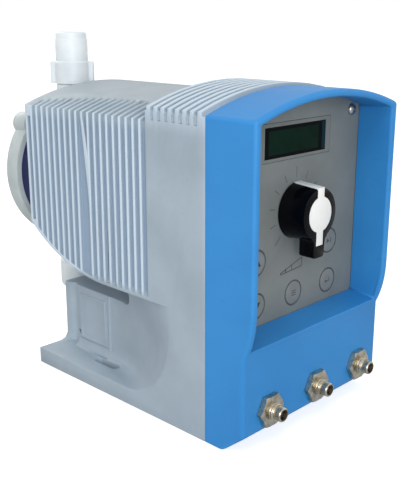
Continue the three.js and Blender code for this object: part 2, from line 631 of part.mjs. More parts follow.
function controlPanel() {
  const halfWidth = HALF_WIDTH - HOOD_WALL - GAP;
  const plate = alongY(commonArch(halfWidth, SILL_REAR_Z - 3, HOOD_REAR_CROWN - GAP), PANEL_Y, PANEL_BACK, 10);
  const posts = BOARD_POSTS.map(([x, z]) => barY(BOARD_POST_RADIUS, PANEL_BACK - 1, BOARD_Y - GAP, x, z, 8));
  const display = block(-LCD_HALF_WIDTH - GAP, LCD_HALF_WIDTH + GAP, PANEL_Y - 1, PANEL_BACK + 1,
    LCD_LOW - GAP, LCD_HIGH + GAP);
  const keyHoles = KEYS.map(([, x, z]) => barY(KEY_HOLE_RADIUS, PANEL_Y - 1, PANEL_BACK + 1, x, z, 20));
  const spindleHole = barY(BUSH_RADIUS + GAP, PANEL_Y - 1, PANEL_BACK + 1, 0, AXIS_Z, 20);
  const screwHoles = [-1, 1].map((side) => barY(SCREW_SHANK_RADIUS + SCREW_CLEARANCE,
    PANEL_Y - 1, PANEL_BACK + 1, side * SCREW_X, SCREW_Z, 10));
  return wasm.Manifold.union([plate, ...posts]).subtract(
    wasm.Manifold.union([display, ...keyHoles, spindleHole, ...screwHoles]));
}

piece(onRim, 'control_panel', controlPanel(), PANEL_GREY);

const WINDOW_THICKNESS = 1.6;
piece(onRim, 'lcd_window',
  block(-LCD_HALF_WIDTH, LCD_HALF_WIDTH, 0, WINDOW_THICKNESS, 0, LCD_HIGH - LCD_LOW), GLASS_GREEN,
  [0, PANEL_Y, LCD_LOW]);

const MODULE_Y = PANEL_BACK + GAP;
const GLASS_FRONT = PANEL_Y + WINDOW_THICKNESS + GAP;
const MODULE_RIM = 2.8;
const GLASS_INSET = 2.4;
piece(onRim, 'lcd_module', wasm.Manifold.union([
  block(-LCD_HALF_WIDTH - MODULE_RIM, LCD_HALF_WIDTH + MODULE_RIM, MODULE_Y, BOARD_Y - GAP,
    LCD_LOW - MODULE_RIM, LCD_HIGH + MODULE_RIM),
  block(-LCD_HALF_WIDTH + GLASS_INSET, LCD_HALF_WIDTH - GLASS_INSET, GLASS_FRONT, MODULE_Y + 1,
    LCD_LOW + GLASS_INSET, LCD_HIGH - GLASS_INSET),
]), GLASS_GREEN);

// Keys: a cap through the plate, a retaining flange behind it
const KEY_FLANGE_RADIUS = KEY_RADIUS + 1.5;
for (const [name, x, z] of KEYS) {
  const back = PANEL_BACK + GAP;
  const cap = turnedY([
    [0, PANEL_Y - KEY_PROUD], [KEY_RADIUS - 0.5, PANEL_Y - KEY_PROUD], [KEY_RADIUS, PANEL_Y - KEY_PROUD + 0.5],
    [KEY_RADIUS, back], [KEY_FLANGE_RADIUS, back], [KEY_FLANGE_RADIUS, back + 1], [0, back + 1],
  ], 20);
  piece(onRim, name, cap, KEY_GREY, [x, 0, z]);
}

// Control board with one dome switch behind each key and two chips on its back
const CHIP_SIZE = 20;
const CHIPS = [[-36, 120], [14, 165]];
const SWITCH_RADIUS = 3;
function circuitBoard() {
  const plate = block(-BOARD_HALF_WIDTH, BOARD_HALF_WIDTH, BOARD_Y, BOARD_Y + BOARD_THICKNESS,
    BOARD_LOW, BOARD_HIGH);
  const reach = PANEL_BACK + GAP + 1 + KEY_TRAVEL + GAP;
  const switches = KEYS.map(([, x, z]) => barY(SWITCH_RADIUS, reach, BOARD_Y + 0.5, x, z, 8));
  const hole = barY(BUSH_RADIUS + 3, BOARD_Y - 1, BOARD_Y + BOARD_THICKNESS + 1, 0, AXIS_Z, 16);
  const chips = CHIPS.map(([x, z]) => block(x, x + CHIP_SIZE, BOARD_Y + 1, BOARD_Y + BOARD_THICKNESS + 2.5,
    z, z + CHIP_SIZE));
  return wasm.Manifold.union([plate, ...switches, ...chips]).subtract(hole);
}

piece(onRim, 'control_board', circuitBoard(), BOARD_GREEN);

// Screws that hold panel and hood on the housing: dome heads with a cross recess
function panelScrew() {
  const screw = turnedY([
    [0, PANEL_Y - GAP - 2.6], [1.6, PANEL_Y - GAP - 2.5], [3.1, PANEL_Y - GAP - 1.9],
    [SCREW_HEAD_RADIUS, PANEL_Y - GAP - 0.5], [SCREW_HEAD_RADIUS, PANEL_Y - GAP],
    [SCREW_SHANK_RADIUS, PANEL_Y - GAP], [SCREW_SHANK_RADIUS, SCREW_BOSS_END - 6], [0, SCREW_BOSS_END - 6],
  ], 12);
  const recess = wasm.Manifold.union([
    block(-2, 2, PANEL_Y - 4, PANEL_Y - GAP - 1.2, -0.45, 0.45),
    block(-0.45, 0.45, PANEL_Y - 4, PANEL_Y - GAP - 1.2, -2, 2),
  ]);
  return screw.subtract(recess);
}

piece(onRim, 'panel_screw_left', panelScrew(), SCREW_STEEL, [-SCREW_X, 0, SCREW_Z]);
piece(onRim, 'panel_screw_right', panelScrew(), SCREW_STEEL, [SCREW_X, 0, SCREW_Z]);

// White marker let into the knob: a bar along its top, a disc and a bar on its face
function marker(clearance, proud) {
  const depth = MARKER_THICKNESS + clearance;
  const half = MARKER_HALF_WIDTH + clearance;
  const front = KNOB_FACE_Y - proud;
  const back = KNOB_FACE_Y + depth - GAP;
  const baseY = PANEL_Y - GAP - GAP;
  const top = KNOB_FACE_RADIUS + proud;
  const disc = barY(MARKER_DISC_RADIUS + clearance, front, back, 0, 0, 24);
  const strip = block(-half, half, front, back, -MARKER_FOOT - clearance, top - 1);
  const bar = alongX(outline([
    [front, KNOB_FACE_RADIUS - depth], [baseY, KNOB_BASE_RADIUS - depth],
    [baseY, KNOB_BASE_RADIUS + proud], [front, top],
  ]), -half, half);
  return wasm.Manifold.union([disc, strip, bar]);
}

function knob() {
  const baseY = PANEL_Y - GAP;
  const nutRecess = 12;
  const body = turnedY([
    [SPINDLE_RADIUS + GAP, KNOB_FACE_Y + 4], [0, KNOB_FACE_Y + 4], [0, KNOB_FACE_Y],
    [KNOB_FACE_RADIUS - 0.8, KNOB_FACE_Y], [KNOB_FACE_RADIUS, KNOB_FACE_Y + 0.8], [KNOB_BASE_RADIUS, baseY],
    [nutRecess, baseY], [nutRecess, baseY - 4], [SPINDLE_RADIUS + GAP, baseY - 4],
    [SPINDLE_RADIUS + GAP, KNOB_FACE_Y + 4],
  ], 32);
  const lug = new THREE.Shape();
  lug.moveTo(-KNOB_LUG_HALF_WIDTH, -KNOB_FACE_RADIUS + 4);
  lug.lineTo(-KNOB_LUG_HALF_WIDTH, -KNOB_LUG_REACH + 2);
  lug.quadraticCurveTo(-KNOB_LUG_HALF_WIDTH, -KNOB_LUG_REACH, -KNOB_LUG_HALF_WIDTH + 2.5, -KNOB_LUG_REACH);
  lug.lineTo(KNOB_LUG_HALF_WIDTH - 2.5, -KNOB_LUG_REACH);
  lug.quadraticCurveTo(KNOB_LUG_HALF_WIDTH, -KNOB_LUG_REACH, KNOB_LUG_HALF_WIDTH, -KNOB_LUG_REACH + 2);
  lug.lineTo(KNOB_LUG_HALF_WIDTH, -KNOB_FACE_RADIUS + 4);
  return body.add(alongY(lug, KNOB_FACE_Y, KNOB_LUG_BACK_Y, 3)).subtract(marker(GAP, 3));
}

const KNOB_PROUD = 0.3;
piece(onAxis, 'stroke_knob', knob(), KNOB_BLACK);
piece(onAxis, 'knob_marker', marker(0, KNOB_PROUD), MARKER_WHITE);

// Spindle from the knob to the stroke stop, and the bush that carries it in the panel
const SPINDLE_END = 60;
piece(onAxis, 'stroke_spindle',
  barY(SPINDLE_RADIUS, KNOB_FACE_Y + 4 + GAP, SPINDLE_END, 0, 0, 12), SCREW_STEEL);
piece(onAxis, 'spindle_bush', turnedY([
  [SPINDLE_RADIUS + GAP, PANEL_Y - 2.6], [9, PANEL_Y - 2.6], [9, PANEL_Y - GAP], [BUSH_RADIUS, PANEL_Y - GAP],
  [BUSH_RADIUS, BOARD_Y + 2], [SPINDLE_RADIUS + GAP, BOARD_Y + 2], [SPINDLE_RADIUS + GAP, PANEL_Y - 2.6],
], 14), BRONZE);

// Three signal sockets in the lower front of the hood
function socketShell() {
  const hexFront = -4 - GAP;
  const collarFront = hexFront - 4.6;
  const tip = SOCKET_TIP_Y - HOOD_LOWER_FRONT;
  const shank = turnedY([
    [SOCKET_BORE_RADIUS, tip], [SOCKET_TIP_RADIUS - 0.4, tip], [SOCKET_TIP_RADIUS, tip + 0.5],
    [SOCKET_TIP_RADIUS, collarFront], [SOCKET_COLLAR_RADIUS, collarFront], [SOCKET_COLLAR_RADIUS, -GAP],
    [SOCKET_SHANK_RADIUS, -GAP], [SOCKET_SHANK_RADIUS, 10], [SOCKET_BORE_RADIUS, 10], [SOCKET_BORE_RADIUS, tip],
  ], 16);
  const hexPlate = alongY(hexagon(SOCKET_HEX), hexFront, -GAP)
    .subtract(barY(SOCKET_BORE_RADIUS + 1, hexFront - 1, 0));
  return shank.add(hexPlate);
}

for (const [i, name] of ['left', 'middle', 'right'].entries()) {
  const place = [(i - 1) * SOCKET_SPACING, HOOD_LOWER_FRONT, SOCKET_Z];
  piece(onRim, 'socket_shell_' + name, socketShell(), NICKEL_BRASS, place);
  const insert = barY(SOCKET_BORE_RADIUS - GAP, SOCKET_TIP_Y - HOOD_LOWER_FRONT + 3, 9, 0, 0, 12);
  piece(onRim, 'socket_insert_' + name, insert, SOCKET_BLACK, place);
}

// Power board with its transformer and a capacitor, in the bay inside the pedestal
const TRANSFORMER_WIDTH = 44;
const TRANSFORMER_LENGTH = 45;
const TRANSFORMER_FRONT = 95;
const CAPACITOR_RADIUS = 9;
const CAPACITOR_HEIGHT = 24;
piece(onRim, 'power_board', wasm.Manifold.union([
  block(-POWER_BOARD_HALF_WIDTH, POWER_BOARD_HALF_WIDTH, POWER_BOARD_FRONT, POWER_BOARD_REAR,
    POWER_BOARD_Z, POWER_BOARD_Z + BOARD_THICKNESS),
  block(-TRANSFORMER_WIDTH / 2, TRANSFORMER_WIDTH / 2,
    TRANSFORMER_FRONT, TRANSFORMER_FRONT + TRANSFORMER_LENGTH, POWER_BOARD_Z + 1, POWER_BAY_HIGH - 4),
  barZ(CAPACITOR_RADIUS, POWER_BOARD_Z + 1, POWER_BOARD_Z + CAPACITOR_HEIGHT,
    TRANSFORMER_WIDTH / 2 - CAPACITOR_RADIUS, TRANSFORMER_FRONT - CAPACITOR_RADIUS - 12, 12),
]), BOARD_GREEN);

// Magnet: can, front cover, coil, guide sleeve, pole, armature, push rod and return spring
const CAN_RADIUS = MAGNET_BORE_RADIUS - GAP;
const SLEEVE_INNER = ARMATURE_RADIUS + GAP;
const SLEEVE_OUTER = SLEEVE_INNER + 0.9;
const COIL_INNER = SLEEVE_OUTER + GAP;
const COIL_OUTER = CAN_RADIUS - CAN_WALL - GAP;
const CAN_FLOOR = CAN_REAR - 8;
const POLE_NECK_RADIUS = 15;
const COVER_FRONT = BAY_DEPTH + GAP;
const GUIDE_OUTER = 12;
const STOP_RADIUS = 8;

piece(onAxis, 'magnet_can', turnedY([
  [POLE_NECK_RADIUS + GAP, CAN_FLOOR], [CAN_RADIUS - CAN_WALL, CAN_FLOOR], [CAN_RADIUS - CAN_WALL, CAN_FRONT],
  [CAN_RADIUS, CAN_FRONT], [CAN_RADIUS, CAN_REAR], [POLE_NECK_RADIUS + GAP, CAN_REAR],
  [POLE_NECK_RADIUS + GAP, CAN_FLOOR],
], 32), DARK_STEEL);
piece(onAxis, 'magnet_cover',
  turnedY(ring(GUIDE_OUTER + GAP, CAN_RADIUS, COVER_FRONT, CAN_FRONT - GAP), 32), DARK_STEEL);
piece(onAxis, 'magnet_coil',
  turnedY(ring(COIL_INNER, COIL_OUTER, CAN_FRONT + GAP, CAN_FLOOR - GAP), 32), COPPER);
piece(onAxis, 'guide_sleeve',
  turnedY(ring(SLEEVE_INNER, SLEEVE_OUTER, CAN_FRONT + 3, POLE_FRONT + 8), 20), BRONZE);

// The pole stands on the floor of the can; its neck carries the rear bush
const BUSH_INNER = ROD_RADIUS + GAP;
const BUSH_OUTER = 8;
const POLE_END = 166;
piece(onAxis, 'magnet_pole', turnedY([
  [BUSH_OUTER + GAP, POLE_FRONT], [ARMATURE_RADIUS, POLE_FRONT], [ARMATURE_RADIUS, CAN_FLOOR - GAP],
  [POLE_NECK_RADIUS, CAN_FLOOR - GAP], [POLE_NECK_RADIUS, POLE_END], [BUSH_OUTER + GAP, POLE_END],
  [BUSH_OUTER + GAP, POLE_FRONT],
], 20), DARK_STEEL);
piece(onAxis, 'rear_bush', turnedY(ring(BUSH_INNER, BUSH_OUTER, POLE_FRONT + 8, POLE_END - 1), 14), BRONZE);

const SPRING_POCKET = 100;
const POCKET_RADIUS = 12.5;
const ROD_POCKET = SPRING_POCKET - 14;
piece(onAxis, 'armature', turnedY([
  [0, ARMATURE_FRONT], [ARMATURE_RADIUS - 1, ARMATURE_FRONT], [ARMATURE_RADIUS, ARMATURE_FRONT + 1],
  [ARMATURE_RADIUS, ARMATURE_REAR], [POCKET_RADIUS, ARMATURE_REAR], [POCKET_RADIUS, SPRING_POCKET],
  [ROD_RADIUS + GAP, SPRING_POCKET], [ROD_RADIUS + GAP, ROD_POCKET], [0, ROD_POCKET],
], 20), DARK_STEEL);

// The rod ends in a boss that carries the diaphragm core
const CORE_BACK = HEAD_Y - 8;
const CORE_FRONT = HEAD_Y + 3.5;
piece(onAxis, 'push_rod',
  barY(ROD_RADIUS, ROD_POCKET + GAP, CORE_BACK + 5, 0, 0, 12), SCREW_STEEL);
piece(onAxis, 'diaphragm_core', turnedY([
  [ROD_RADIUS + GAP, CORE_BACK], [CORE_RADIUS, CORE_BACK], [CORE_RADIUS, CORE_FRONT], [0, CORE_FRONT],
  [0, CORE_BACK + 5 + GAP], [ROD_RADIUS + GAP, CORE_BACK + 5 + GAP], [ROD_RADIUS + GAP, CORE_BACK],
], 16), SEAT_GREY);

class Helix extends THREE.Curve {
  constructor(radius, from, to, turns) {
    super();
    Object.assign(this, { radius, from, to, turns });
  }

  getPoint(t, target = new THREE.Vector3()) {
    const angle = t * this.turns * 2 * Math.PI;
    return target.set(this.radius * Math.cos(angle), this.from + t * (this.to - this.from),
      this.radius * Math.sin(angle));
  }
}

// The spring rests on the pole; its front end is clear of the armature by the stroke
const SPRING_WIRE = 0.9;
const SPRING_RADIUS = 10;
function returnSpring() {
  const wire = new THREE.Shape();
  wire.absarc(0, 0, SPRING_WIRE, 0, 2 * Math.PI, false);
  const from = SPRING_POCKET + STROKE + GAP + SPRING_WIRE * 1.2;
  const to = POLE_FRONT - GAP - SPRING_WIRE * 1.2;
  const path = new Helix(SPRING_RADIUS, from, to, 4);
  return solid(new THREE.ExtrudeGeometry(wire, {
    steps: 44, extrudePath: path, bevelEnabled: false, curveSegments: 2,
  }));
}

piece(onAxis, 'return_spring', returnSpring(), SCREW_STEEL);

// Stroke stop: a plunger driven by the spindle, guided in a flanged bush on the cover
const GUIDE_FRONT = 44;
const STOP_FRONT = 47;
const STOP_TRAVEL = 0.9;
piece(onAxis, 'stop_guide', turnedY([
  [STOP_RADIUS + GAP, GUIDE_FRONT], [22, GUIDE_FRONT], [22, COVER_FRONT - GAP],
  [GUIDE_OUTER, COVER_FRONT - GAP], [GUIDE_OUTER, CAN_FRONT + 6], [STOP_RADIUS + GAP, CAN_FRONT + 6],
  [STOP_RADIUS + GAP, GUIDE_FRONT],
], 16), BRONZE);

const STOP_REAR = ARMATURE_FRONT - GAP - STOP_TRAVEL;
piece(onAxis, 'stroke_stop', turnedY([
  [SPINDLE_RADIUS + GAP, STOP_FRONT], [STOP_RADIUS, STOP_FRONT], [STOP_RADIUS, STOP_REAR],
  [0, STOP_REAR], [0, SPINDLE_END + GAP + STOP_TRAVEL],
  [SPINDLE_RADIUS + GAP, SPINDLE_END + GAP + STOP_TRAVEL], [SPINDLE_RADIUS + GAP, STOP_FRONT],
], 14), DARK_STEEL);

// Four places of the head screws, 45 degrees from the upright
const SCREW_PLACES = [45, 135, 225, 315].map((angle) => [
  HEAD_SCREW_CIRCLE * Math.cos(THREE.MathUtils.degToRad(angle)),
  HEAD_SCREW_CIRCLE * Math.sin(THREE.MathUtils.degToRad(angle)),
]);
const FLANGE_FRONT = BODY_LENGTH + GAP;
const FLANGE_REAR = HEAD_Y - GAP;
const CLAMP_DEPTH = 1.4;
const HEAD_SCREW_DEPTH = 14;

// Intermediate flange between housing and head, with a spigot in the housing
function headFlange() {
  const body = turnedY([
    [BUSH_OUTER + 6, NECK_BORE_END + GAP], [SPIGOT_BORE_RADIUS - GAP, NECK_BORE_END + GAP],
    [SPIGOT_BORE_RADIUS - GAP, FLANGE_FRONT], [FLANGE_RADIUS, FLANGE_FRONT], [FLANGE_RADIUS, FLANGE_RING_Y],
    [FLANGE_RING_RADIUS, FLANGE_RING_Y], [FLANGE_RING_RADIUS, HEAD_RIM_Y - GAP],
    [HEAD_CORE_RADIUS + GAP, HEAD_RIM_Y - GAP], [HEAD_CORE_RADIUS + GAP, FLANGE_REAR],
    [DIAPHRAGM_RADIUS + GAP, FLANGE_REAR], [DIAPHRAGM_RADIUS + GAP, FLANGE_REAR - CLAMP_DEPTH],
    [CHAMBER_RADIUS, FLANGE_REAR - CLAMP_DEPTH], [CHAMBER_RADIUS - 8, CORE_BACK - 4],
    [BUSH_OUTER + 6, CORE_BACK - 4], [BUSH_OUTER + 6, NECK_BORE_END + GAP],
  ], 32);
  const lobes = SCREW_PLACES.map(([x, z]) => barY(HEAD_LOBE_RADIUS, FLANGE_FRONT, FLANGE_RING_Y + 1, x, z, 20));
  const holes = SCREW_PLACES.map(([x, z]) => barY(HEAD_SCREW_RADIUS + GAP,
    FLANGE_REAR - HEAD_SCREW_DEPTH - 1, HEAD_RIM_Y, x, z, 12));
  const bosses = [1, -1].map((side) => barZ(HEAD_BOSS_RADIUS + GAP, 0, FLANGE_RING_RADIUS + 5, 0, VALVE_Y, 20)
    .intersect(block(-HEAD_RADIUS, HEAD_RADIUS, FLANGE_REAR, HEAD_REAR, 0, HEAD_RADIUS + 5))
    .scale([1, 1, side]));
  return wasm.Manifold.union([body, ...lobes]).subtract(wasm.Manifold.union([...bosses, ...holes]));
}

piece(onAxis, 'head_flange', headFlange(), FLANGE_NAVY);

// Diaphragm clamped at its rim, with one rolled convolution
const DIAPHRAGM_FRONT = FLANGE_REAR - CLAMP_DEPTH + GAP;
const DIAPHRAGM_BACK = DIAPHRAGM_FRONT + 2.6;
piece(onAxis, 'diaphragm', turnedY([
  [CORE_RADIUS + GAP, DIAPHRAGM_FRONT], [16, DIAPHRAGM_FRONT], [23, DIAPHRAGM_FRONT - 1.6],
  [30, DIAPHRAGM_FRONT], [DIAPHRAGM_RADIUS, DIAPHRAGM_FRONT], [DIAPHRAGM_RADIUS, DIAPHRAGM_BACK],
  [30, DIAPHRAGM_BACK], [23, DIAPHRAGM_BACK - 1.6], [16, DIAPHRAGM_BACK], [CORE_RADIUS + GAP, DIAPHRAGM_BACK],
  [CORE_RADIUS + GAP, DIAPHRAGM_FRONT],
], 24), RUBBER_BLACK);

// Pump head: disc with a pump chamber, valve pockets above and below, passages and a bleed boss
const BLEED_X = BLEED_CIRCLE * Math.cos(THREE.MathUtils.degToRad(BLEED_ANGLE));
const BLEED_Z = BLEED_CIRCLE * Math.sin(THREE.MathUtils.degToRad(BLEED_ANGLE));
const POCKET_DEPTH = 20;
const PASSAGE_OFFSET = 18;
const HEAD_SCREW_HEAD_RADIUS = 5;
const HEAD_SCREW_HEAD_DEPTH = 7;
const BLEED_DEPTH = 12;

function pumpHead() {
  const chamfer = 2;
  const disc = turnedY([
    [0, CHAMBER_END], [CHAMBER_RADIUS - 6, CHAMBER_END], [CHAMBER_RADIUS, DIAPHRAGM_BACK + GAP],
    [HEAD_CORE_RADIUS, DIAPHRAGM_BACK + GAP], [HEAD_CORE_RADIUS, HEAD_RIM_Y],
    [HEAD_RADIUS - 1, HEAD_RIM_Y], [HEAD_RADIUS, HEAD_RIM_Y + 1], [HEAD_RADIUS, HEAD_REAR - chamfer],
    [HEAD_RADIUS - chamfer, HEAD_REAR], [0, HEAD_REAR],
  ], 44);
  const boss = barY(BLEED_BOSS_RADIUS, HEAD_RIM_Y, HEAD_REAR, BLEED_X, BLEED_Z, 20);
  const front = block(-HEAD_RADIUS, HEAD_RADIUS, DIAPHRAGM_BACK + GAP, HEAD_REAR,
    HEAD_BOTTOM - AXIS_Z, HEAD_TOP - AXIS_Z);
  const upper = barZ(HEAD_BOSS_RADIUS, HEAD_BOSS_START, HEAD_TOP - AXIS_Z, 0, VALVE_Y, 20).intersect(front);
  const lower = barZ(HEAD_BOSS_RADIUS, HEAD_BOTTOM - AXIS_Z, -HEAD_BOSS_START, 0, VALVE_Y, 20).intersect(front);
  const cuts = [
    barZ(VALVE_THREAD_RADIUS + GAP, HEAD_TOP - AXIS_Z - POCKET_DEPTH, HEAD_TOP - AXIS_Z + 1, 0, VALVE_Y, 20),
    barZ(VALVE_THREAD_RADIUS + GAP, HEAD_BOTTOM - AXIS_Z - 1, HEAD_BOTTOM - AXIS_Z + POCKET_DEPTH,
      0, VALVE_Y, 20),
    barZ(VALVE_BORE, PASSAGE_OFFSET, HEAD_TOP - AXIS_Z - POCKET_DEPTH + 1, 0, VALVE_Y, 10),
    barZ(VALVE_BORE, HEAD_BOTTOM - AXIS_Z + POCKET_DEPTH - 1, -PASSAGE_OFFSET, 0, VALVE_Y, 10),
    barY(VALVE_BORE, CHAMBER_END - 3, VALVE_Y + 2, 0, PASSAGE_OFFSET + 2, 10),
    barY(VALVE_BORE, CHAMBER_END - 3, VALVE_Y + 2, 0, -PASSAGE_OFFSET - 2, 10),
    barY(BLEED_RADIUS + GAP, HEAD_REAR - BLEED_DEPTH, HEAD_REAR + 1, BLEED_X, BLEED_Z, 16),
  ];
  for (const [x, z] of SCREW_PLACES) {
    cuts.push(barY(HEAD_SCREW_RADIUS + GAP, HEAD_RIM_Y - 1, HEAD_REAR + 1, x, z, 12));
    cuts.push(barY(HEAD_SCREW_HEAD_RADIUS + 0.6, HEAD_REAR - HEAD_SCREW_HEAD_DEPTH, HEAD_REAR + 1, x, z, 16));
  }
  return wasm.Manifold.union([disc, boss, upper, lower]).subtract(wasm.Manifold.union(cuts));
}

piece(onAxis, 'pump_head', pumpHead(), LIQUID_WHITE);

// Socket head screws
function headScrew() {
  const seat = HEAD_REAR - HEAD_SCREW_HEAD_DEPTH + GAP;
  const body = turnedY([
    [0, FLANGE_REAR - HEAD_SCREW_DEPTH], [HEAD_SCREW_RADIUS, FLANGE_REAR - HEAD_SCREW_DEPTH],
    [HEAD_SCREW_RADIUS, seat], [HEAD_SCREW_HEAD_RADIUS, seat], [HEAD_SCREW_HEAD_RADIUS, seat + 5.5],
    [HEAD_SCREW_HEAD_RADIUS - 0.5, seat + 6], [0, seat + 6],
  ], 12);
  return body.subtract(alongY(hexagon(5), seat + 3, seat + 7));
}

const CORNERS = ['upper_right', 'upper_left', 'lower_left', 'lower_right'];
SCREW_PLACES.forEach(([x, z], i) => {
  piece(onAxis, 'head_screw_' + CORNERS[i], headScrew(), SCREW_STEEL, [x, 0, z]);
});

// Bleed screw with a slot, flush in its boss
const BLEED_FRONT = HEAD_REAR - BLEED_DEPTH + GAP;
piece(onAxis, 'bleed_screw', barY(BLEED_RADIUS, BLEED_FRONT, HEAD_REAR, 0, 0, 16).subtract(
  block(-BLEED_RADIUS - 1, BLEED_RADIUS + 1, HEAD_REAR - 1.5, HEAD_REAR + 1, -0.7, 0.7)),
SEAT_GREY, [BLEED_X, 0, BLEED_Z]);

// Discharge valve: a body screwed into the head, seat, ball and union with four grip flats
const onValve = new THREE.Group();
onValve.position.y = VALVE_Y;
onRim.add(onValve);

const SEAT_THICKNESS = 2;
const SEAT_BORE = 3.5;
const SEAT_RADIUS = BALL_CHAMBER_RADIUS - GAP;
const BALL_HEIGHT = Math.sqrt(BALL_RADIUS ** 2 - SEAT_BORE ** 2) + GAP;
const SEAL_HEIGHT = 2;

const DISCHARGE_SEAT_LOW = HEAD_TOP + 4;
const BODY_TOP = UNION_LOW + 9.7;
const CAGE_LOW = DISCHARGE_SEAT_LOW + SEAT_THICKNESS + 2 * GAP + BALL_HEIGHT + BALL_RADIUS + BALL_LIFT;
const SPIGOT_LOW = HEAD_TOP - POCKET_DEPTH + SEAL_HEIGHT + 2 * GAP;
piece(onValve, 'discharge_body', turnedZ([
  [VALVE_BORE, SPIGOT_LOW], [VALVE_THREAD_RADIUS, SPIGOT_LOW], [VALVE_THREAD_RADIUS, HEAD_TOP + GAP],
  [VALVE_NECK_RADIUS, HEAD_TOP + GAP], [VALVE_NECK_RADIUS, UNION_LOW - GAP], [SLEEVE_RADIUS, UNION_LOW - GAP],
  [SLEEVE_RADIUS, BODY_TOP], [BALL_CHAMBER_RADIUS, BODY_TOP], [BALL_CHAMBER_RADIUS, DISCHARGE_SEAT_LOW],
  [VALVE_BORE, DISCHARGE_SEAT_LOW], [VALVE_BORE, SPIGOT_LOW],
]), LIQUID_WHITE);
piece(onValve, 'discharge_seal', turnedZ(ring(VALVE_BORE + 1.5, VALVE_THREAD_RADIUS,
  HEAD_TOP - POCKET_DEPTH + GAP, HEAD_TOP - POCKET_DEPTH + GAP + SEAL_HEIGHT), 16), RUBBER_BLACK);
piece(onValve, 'discharge_seat', turnedZ(ring(SEAT_BORE, SEAT_RADIUS,
  DISCHARGE_SEAT_LOW + GAP, DISCHARGE_SEAT_LOW + GAP + SEAT_THICKNESS), 16), SEAT_GREY);

function ball() {
  return solid(new THREE.SphereGeometry(BALL_RADIUS, 12, 6));
}

piece(onValve, 'discharge_ball', ball(), CERAMIC,
  [0, 0, DISCHARGE_SEAT_LOW + GAP + SEAT_THICKNESS + BALL_HEIGHT]);

function dischargeUnion() {
  const boreTop = BODY_TOP + GAP;
  const barrel = turnedZ([
    [SLEEVE_RADIUS + GAP, UNION_LOW], [VALVE_NECK_RADIUS, UNION_LOW], [VALVE_NECK_RADIUS, UNION_GRIP_TOP + 5],
    [VALVE_NECK_RADIUS - 0.35, UNION_TOP - 6], [VALVE_NECK_RADIUS - 0.8, UNION_TOP - 5.5],
    [VALVE_NECK_RADIUS - 1, UNION_TOP - 1], [VALVE_NECK_RADIUS - 1.8, UNION_TOP], [9, UNION_TOP],
    [9, UNION_TOP - 12], [VALVE_BORE, UNION_TOP - 14], [VALVE_BORE, CAGE_LOW + 1],
    [BALL_CHAMBER_RADIUS - 1, CAGE_LOW], [BALL_CHAMBER_RADIUS, boreTop], [SLEEVE_RADIUS + GAP, boreTop],
    [SLEEVE_RADIUS + GAP, UNION_LOW],
  ]);
  const corner = UNION_CORNER_RADIUS;
  const half = UNION_SQUARE / 2;
  const grip = alongZ(rectangle(-half, -half, half, half), UNION_LOW, UNION_GRIP_TOP).intersect(turnedZ([
    [0, UNION_LOW], [corner - 1.5, UNION_LOW], [corner, UNION_LOW + 1.5], [corner, UNION_GRIP_TOP - 1],
    [corner - 1, UNION_GRIP_TOP], [0, UNION_GRIP_TOP],
  ], 40)).subtract(barZ(VALVE_NECK_RADIUS - 1, UNION_LOW - 1, UNION_GRIP_TOP + 1));
  return barrel.add(grip.rotate([0, 0, UNION_TURN]));
}

piece(onValve, 'discharge_union', dischargeUnion(), LIQUID_WHITE);

// Suction valve: the same parts below the head, with a union nut for the hose
const SUCTION_HEX_LOW = SUCTION_NUT_HIGH + 1.5;
const SUCTION_HEX_HIGH = SUCTION_HEX_LOW + 10.5;
const SUCTION_TAIL = SUCTION_NUT_LOW + 6;
const SUCTION_SPIGOT_HIGH = HEAD_BOTTOM + POCKET_DEPTH - SEAL_HEIGHT - 2 * GAP;
const SUCTION_SEAT_LOW = HEAD_BOTTOM - 12;
const SUCTION_CAGE = SUCTION_SEAT_LOW + 2 * GAP + SEAT_THICKNESS + BALL_HEIGHT + BALL_RADIUS + BALL_LIFT;
function suctionBody() {
  const body = turnedZ([
    [VALVE_BORE - 1, SUCTION_TAIL], [VALVE_NECK_RADIUS, SUCTION_TAIL], [VALVE_NECK_RADIUS, HEAD_BOTTOM - GAP],
    [VALVE_THREAD_RADIUS, HEAD_BOTTOM - GAP], [VALVE_THREAD_RADIUS, SUCTION_SPIGOT_HIGH],
    [VALVE_BORE, SUCTION_SPIGOT_HIGH], [VALVE_BORE, SUCTION_CAGE], [BALL_CHAMBER_RADIUS, SUCTION_CAGE],
    [BALL_CHAMBER_RADIUS, SUCTION_SEAT_LOW], [VALVE_BORE - 1, SUCTION_SEAT_LOW], [VALVE_BORE - 1, SUCTION_TAIL],
  ]);
  const hex = alongZ(hexagon(VALVE_HEX), SUCTION_HEX_LOW, SUCTION_HEX_HIGH)
    .subtract(barZ(VALVE_NECK_RADIUS - 1, SUCTION_HEX_LOW - 1, SUCTION_HEX_HIGH + 1));
  return body.add(hex);
}

